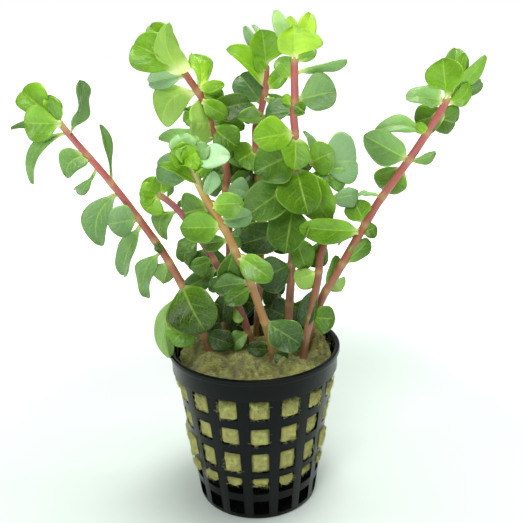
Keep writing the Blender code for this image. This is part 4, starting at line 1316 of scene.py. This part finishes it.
@dataclass
class Foliage:
    """One shoot dressed: its stem, its large leaves one by one and its small leaves together."""

    shoot: Shoot
    leaf_material: bpy.types.Material
    stem_finish: StemFinish
    large_faces: tuple[int, int] = (40, 52)
    small_faces: tuple[int, int] = (24, 32)
    thickness: float = 0.30
    foot_length: float = 8.0
    foot_share: float = 0.32
    widest_foot: float = 0.9
    folds: tuple[float, float] = (0.10, 0.36)
    roll_spread: float = 13.0
    uneven: float = 0.13
    rib_depth: float = 0.16
    rib_width: float = 0.45
    quilt_height: float = 0.017
    quilt_width: float = 10.0
    # How much lighter the top of a blade is painted than its bottom: painted light and shade.
    painted_top_light: float = 0.11
    stem_sides: int = 14
    node_swell: float = 0.10
    node_reach: float = 0.8
    least_internode: float = 6.0
    veins: Veins = field(default_factory=Veins)
    line: StemLine = field(init=False)

    def __post_init__(self) -> None:
        """Lays out the stem's line."""
        self.line = StemLine(self.shoot)

    def nodes(self) -> list[float]:
        """Seen heights of the nodes, where leaves grow.

        Returns:
            The heights in millimetres, from the top down.
        """
        found: list[float] = []
        heights = (leaf.node for leaf in self.shoot.leaves + self.shoot.small_leaves)
        for height in sorted(heights, reverse=True):
            if not found or found[-1] - height > self.least_internode:
                found.append(height)
        return found

    def add_blade(self, shape: bmesh.types.BMesh, leaf: Leaf, faces: tuple[int, int], number: int) -> None:
        """Adds a leaf: a sphere flattened into a blade, its poles at the base and the tip.

        Args:
            shape: the bmesh that takes it, with its blade map and shade layers.
            leaf: the leaf's row of the table.
            faces: faces around and along it.
            number: seeds its ripples.
        """
        chance = random.Random(f"{self.shoot.name} {number}")
        node = self.line.corner(leaf.node)
        tip = placed(leaf.tip_x, leaf.tip_z, node.y + leaf.depth)
        axis = (tip - node).normalized()
        view = (VIEWER - (node + tip) / 2).normalized()
        start = node + axis * (self.line.radius(leaf.node) * 0.5 - leaf.back)
        clear = (self.line.radius(leaf.node) + 0.3) * min(1.0, leaf.back)
        start += view * (-clear if leaf.depth > 0 else clear)
        facing = (view - axis * view.dot(axis)).normalized()
        beside = axis.cross(facing)
        roll = math.radians(leaf.roll + chance.uniform(-self.roll_spread, self.roll_spread))
        fold = chance.uniform(*self.folds) if leaf.fold is None else leaf.fold
        arch = leaf.arch + chance.uniform(0.0, 0.08) * (tip - node).length
        normal = facing * math.cos(roll) + beside * math.sin(roll)
        side = beside * math.cos(roll) - facing * math.sin(roll)
        phase = chance.uniform(0, math.tau)
        waves = chance.uniform(0.9, 1.8)
        lopsided = chance.uniform(-self.uneven, self.uneven)
        bulge = chance.uniform(0.4, 1.0) * self.uneven * 0.6
        # Painted top light: the blade's tone is raised towards its top and its base and lowered towards its
        # bottom.
        light = self.painted_top_light * smooth_step(0.95, 0.7, leaf.tone)
        quilt = self.quilt_height * min(leaf.width, self.quilt_width) ** 0.9
        blade_map = shape.loops.layers.uv["blade"]
        shade = shape.verts.layers.float_color["shade"]
        made = bmesh.ops.create_uvsphere(shape, u_segments=faces[0], v_segments=faces[1], radius=1.0)["verts"]
        spots = {}
        for vert in made:
            t = (1.0 - vert.co.z) / 2
            turn = math.atan2(vert.co.y, vert.co.x)
            across = 1.0 - 2.0 * abs(turn) / math.pi
            over = math.sin(turn) > 1e-4
            under = math.sin(turn) < -1e-4
            if min(t, 1 - t) < 1e-6:
                across, over, under = 0.0, True, False
            spots[vert] = (across, t)
            foot = min(self.foot_share * leaf.width / 2, self.widest_foot) * math.sqrt(min(1.0, t / 0.03))
            half = max(leaf.width / 2 * self.outline(leaf, t), foot)
            turned = math.copysign(1.0, across)
            half *= 1 + lopsided * turned + bulge * math.sin(math.tau * 1.3 * t + phase + 1.7 * turned)
            edge = abs(across)
            bow = 4 * t * (1 - t)
            lift = leaf.cup * half * edge**1.8 + fold * half * edge**1.1
            lift -= 0.10 * half * edge**4
            ripple = math.sin(waves * math.tau * t + phase + 1.3 * across)
            lift += leaf.wave * edge**2.5 * ripple * min(1.0, half)
            lift -= leaf.curl * smooth_step(0.72, 1.0, t) * (0.4 + 0.6 * (1 - edge))
            lift -= self.rib_depth * math.exp(-((across * half / self.rib_width) ** 2)) * (1 - 0.6 * t)
            lift += quilt * self.veins.quilt(t, edge) * (1 - edge**3) * min(1.0, 2 * bow)
            lift += 0.10 * rough(node + Vector((across * 6, t * 9, number)), 0.5)
            skin = self.thickness / 2 * math.sqrt(max(0.0, 1 - edge**6)) * min(1.0, 3 * bow) * (over - under)
            middle = start.lerp(tip, t) + normal * (arch * bow) + side * (leaf.sweep * bow)
            vert.co = (middle + side * (half * across) + normal * (lift + skin)) * MM
            # Painted top light and shade: higher places on the blade and places near its base are painted
            # lighter.
            height = (vert.co.z / MM - middle.z) / max(leaf.width / 2, 1.0) + 0.8 * (0.5 - t)
            tone = max(0.0, leaf.tone + light * max(-1.0, min(1.0, height)))
            vert[shade] = (tone, leaf.blue, float(under), 1.0)
        for face in {face for vert in made for face in vert.link_faces}:
            for loop in face.loops:
                across, t = spots[loop.vert]
                loop[blade_map].uv = ((across + 1) / 2, t)

    @staticmethod
    def outline(leaf: Leaf, t: float) -> float:
        """Half width of a leaf along its midrib.

        Args:
            leaf: the leaf's row of the table.
            t: share along the midrib.

        Returns:
            The share of the widest half width.
        """
        eased = t ** (math.log(0.5) / math.log(leaf.widest))
        round_end = max(math.sin(math.pi * eased), 0.0)
        slim = 0.42 + leaf.neck * smooth_step(0.5, 0.0, t)
        return round_end**slim

    @staticmethod
    def blade_mesh() -> bmesh.types.BMesh:
        """Starts a bmesh with a leaf's map and shade layers.

        Returns:
            The empty bmesh.
        """
        shape = bmesh.new()
        shape.loops.layers.uv.new("blade")
        shape.verts.layers.float_color.new("shade")
        return shape

    def build_stem(self) -> bpy.types.Object:
        """Builds the stem as a sphere drawn out along its line, with swollen nodes.

        Returns:
            The stem.
        """
        shape = bmesh.new()
        ring_layer = shape.verts.layers.float.new("ring")
        low, high = self.line.low, self.line.high
        rings = int((high - low + self.foot_length) * 2.2)
        nodes = self.nodes()
        bmesh.ops.create_uvsphere(shape, u_segments=self.stem_sides, v_segments=rings, radius=1.0)
        for vert in shape.verts:
            level = math.acos(max(-1.0, min(1.0, vert.co.z))) / math.pi
            height = high - (high - low + self.foot_length) * level
            at = max(height, low)
            centre = self.line.point(at) - Vector((0.0, 0.0, at - height))
            way = self.line.way(max(height, low + 1.2))
            first = way.cross(Vector((0.0, 1.0, 0.0))).normalized()
            second = way.cross(first)
            near = max(math.exp(-(((height - node) / self.node_reach) ** 2)) for node in nodes)
            flute = 1 + 0.035 * rough(centre, 0.6) + 0.03 * math.cos(4 * math.atan2(vert.co.y, vert.co.x))
            radius = self.line.radius(height) * (1 + self.node_swell * near) * flute
            radius *= math.sqrt(min(1.0, 1 - (2 * level - 1) ** 120))
            flat = math.hypot(vert.co.x, vert.co.y) or 1.0
            vert.co = (centre + (first * vert.co.x + second * vert.co.y) / flat * radius) * MM
            vert[ring_layer] = near
        material = self.stem_finish.material(low * MM, high * MM)
        return mesh_object("stem_skin_" + self.shoot.name, shape, material)

    def build(self) -> list[bpy.types.Object]:
        """Builds the shoot's pieces and sets each in place of its node.

        Returns:
            The pieces.
        """
        stem_node = "stem_" + self.shoot.name
        stem = self.build_stem()
        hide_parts(stem_node)
        pieces = [stem]
        small = self.blade_mesh()
        for number, leaf in enumerate(self.shoot.small_leaves, start=1):
            self.add_blade(small, leaf, self.small_faces, 100 + number)
        sprays = mesh_object("small_leaves_" + self.shoot.name, small, self.leaf_material)
        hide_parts(stem_node)
        pieces.append(sprays)
        for number, leaf in enumerate(self.shoot.leaves, start=1):
            shape = self.blade_mesh()
            self.add_blade(shape, leaf, self.large_faces, number)
            blade = mesh_object(f"blade_{self.shoot.name}_{number}", shape, self.leaf_material)
            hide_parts(f"leaf_{self.shoot.name}_{number}")
            pieces.append(blade)
        for piece in pieces:
            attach(piece, "root")
        LOG.info("shoot %s: %d pieces", self.shoot.name, len(pieces))
        return pieces


@dataclass
class Studio:
    """Pale floor, plain soft light and the camera at the photo's view."""

    eye: Vector = field(default_factory=lambda: VIEWER * MM)
    pitch: float = 0.3075
    roll: float = -0.0237
    pan: float = 0.0157
    lens: float = 48.04
    floor_size: float = 6.0
    floor_low: Colour = (0.78, 0.88, 0.80)
    floor_high: Colour = (0.85, 0.92, 0.87)
    floor_glow_ramp: tuple[float, float] = (0.085, 0.26)
    sky_tint: Colour = (0.93, 1.0, 0.97)
    sky_top: float = 0.18
    sky_back: float = 0.42
    sky_front: float = 0.05
    lamp_target: tuple[float, float, float] = (0.0, 0.0, 0.07)
    lamps: tuple[tuple[str, tuple[float, float, float], float, float], ...] = (
        ("top", (0.10, 0.02, 0.80), 0.34, 4.4),
        ("front", (-0.22, -0.62, 0.62), 0.36, 3.5),
    )

    def build(self) -> None:
        """Adds the floor, the lights and the camera."""
        self.add_floor()
        self.add_lights()
        self.add_camera()
        LOG.info("studio: floor, lights and camera")

    def add_floor(self) -> None:
        """A round pale floor that glows, its emission rising to white far from the pot."""
        shape = bmesh.new()
        bmesh.ops.create_circle(shape, cap_ends=True, segments=64, radius=self.floor_size)
        g = Graph("studio_floor")
        cloud = g.noise(g.object_place, 9.0, 2.0)
        away = g.add("ShaderNodeVectorMath", {0: g.object_place}, operation="LENGTH").outputs["Value"]
        g.shader.inputs["Specular IOR Level"].default_value = 0.15
        g.shader.inputs["Emission Color"].default_value = (1.0, 1.0, 1.0, 1.0)
        # The floor glows: its emission rises from none near the pot to full white far from it.
        g.feed(g.shader.inputs["Emission Strength"], g.ramp(away, *self.floor_glow_ramp))
        material = g.finish(g.mix(cloud, self.floor_low, self.floor_high), 0.7)
        floor = mesh_object("studio_floor", shape, material)
        floor.data.shade_flat()

    def add_lights(self) -> None:
        """A white backdrop, a sky that is bright above and behind, and broad soft lamps."""
        world = bpy.data.worlds.new("studio_sky")
        world.use_nodes = True
        bpy.context.scene.world = world
        nodes, links = world.node_tree.nodes, world.node_tree.links
        sky, output = nodes["Background"], nodes["World Output"]
        around = nodes.new("ShaderNodeTexCoord")
        split = nodes.new("ShaderNodeSeparateXYZ")
        links.new(around.outputs["Generated"], split.inputs[0])
        up = nodes.new("ShaderNodeMapRange")
        links.new(split.outputs[2], up.inputs["Value"])
        back = nodes.new("ShaderNodeMapRange")
        links.new(split.outputs[1], back.inputs["Value"])
        for ramp, ends in (
            (up, (-0.1, 0.9, 0.0, self.sky_top)), (back, (-0.6, 0.9, self.sky_front, self.sky_back)),
        ):
            for name, value in zip(("From Min", "From Max", "To Min", "To Max"), ends):
                ramp.inputs[name].default_value = value
        total = nodes.new("ShaderNodeMath")
        links.new(up.outputs[0], total.inputs[0])
        links.new(back.outputs[0], total.inputs[1])
        links.new(total.outputs[0], sky.inputs["Strength"])
        sky.inputs["Color"].default_value = (*self.sky_tint, 1.0)
        backdrop = nodes.new("ShaderNodeBackground")
        backdrop.inputs["Strength"].default_value = 1.0
        backdrop.inputs["Color"].default_value = (1.0, 1.0, 1.0, 1.0)
        rays = nodes.new("ShaderNodeLightPath")
        chosen = nodes.new("ShaderNodeMixShader")
        links.new(rays.outputs["Is Camera Ray"], chosen.inputs[0])
        links.new(sky.outputs[0], chosen.inputs[1])
        links.new(backdrop.outputs[0], chosen.inputs[2])
        links.new(chosen.outputs[0], output.inputs[0])
        for name, place, size, power in self.lamps:
            light = bpy.data.lights.new("soft_" + name, "AREA")
            light.size = size
            light.energy = power
            lamp = bpy.data.objects.new("soft_" + name, light)
            aim = (Vector(self.lamp_target) - Vector(place)).to_track_quat("-Z", "Y")
            lamp.matrix_world = Matrix.Translation(place) @ aim.to_matrix().to_4x4()
            bpy.context.scene.collection.objects.link(lamp)

    def add_camera(self) -> None:
        """The camera, from its place, pan, pitch and roll."""
        ahead = Vector((
            math.sin(self.pan) * math.cos(self.pitch),
            math.cos(self.pan) * math.cos(self.pitch),
            -math.sin(self.pitch),
        ))
        level = Vector((math.cos(self.pan), -math.sin(self.pan), 0.0))
        above = level.cross(ahead)
        right = level * math.cos(self.roll) + above * math.sin(self.roll)
        up = above * math.cos(self.roll) - level * math.sin(self.roll)
        lens = bpy.data.cameras.new("camera")
        lens.sensor_width = 36.0
        lens.lens = self.lens
        lens.clip_start = 0.005
        camera = bpy.data.objects.new("camera", lens)
        turn = Matrix((right, up, -ahead)).transposed().to_4x4()
        camera.matrix_world = Matrix.Translation(self.eye) @ turn
        bpy.context.scene.collection.objects.link(camera)
        bpy.context.scene.camera = camera
        bpy.context.scene.view_settings.view_transform = "Standard"


STEM_FINISHES = {
    Tint.ROSE: StemFinish(
        Tint.ROSE, paling=0.4,
        low=(0.330, 0.165, 0.090), middle=(0.310, 0.090, 0.056), top=(0.460, 0.120, 0.125),
    ),
    Tint.BROWN: StemFinish(
        Tint.BROWN, paling=0.3,
        low=(0.340, 0.180, 0.095), middle=(0.210, 0.070, 0.034), top=(0.340, 0.095, 0.050),
    ),
    Tint.OCHRE: StemFinish(
        Tint.OCHRE, paling_length=0.009,
        low=(0.350, 0.200, 0.080), middle=(0.320, 0.155, 0.048), top=(0.440, 0.270, 0.060),
    ),
    Tint.MAUVE: StemFinish(
        Tint.MAUVE, paling=0.1,
        low=(0.280, 0.110, 0.080), middle=(0.240, 0.065, 0.060), top=(0.360, 0.095, 0.120),
    ),
}


def main() -> None:
    """Builds the pot, the wool, the eight shoots and the studio."""
    logging.basicConfig(level=logging.INFO, format="%(name)s: %(message)s")
    pot = NetPot()
    pot.build()
    GrowingWool(pot).build()
    leaf_material = LeafFinish().material()
    for shoot in SHOOTS:
        Foliage(shoot, leaf_material, STEM_FINISHES[TINTS[shoot.name]]).build()
    Studio().build()


if __name__ == "__main__":
    main()
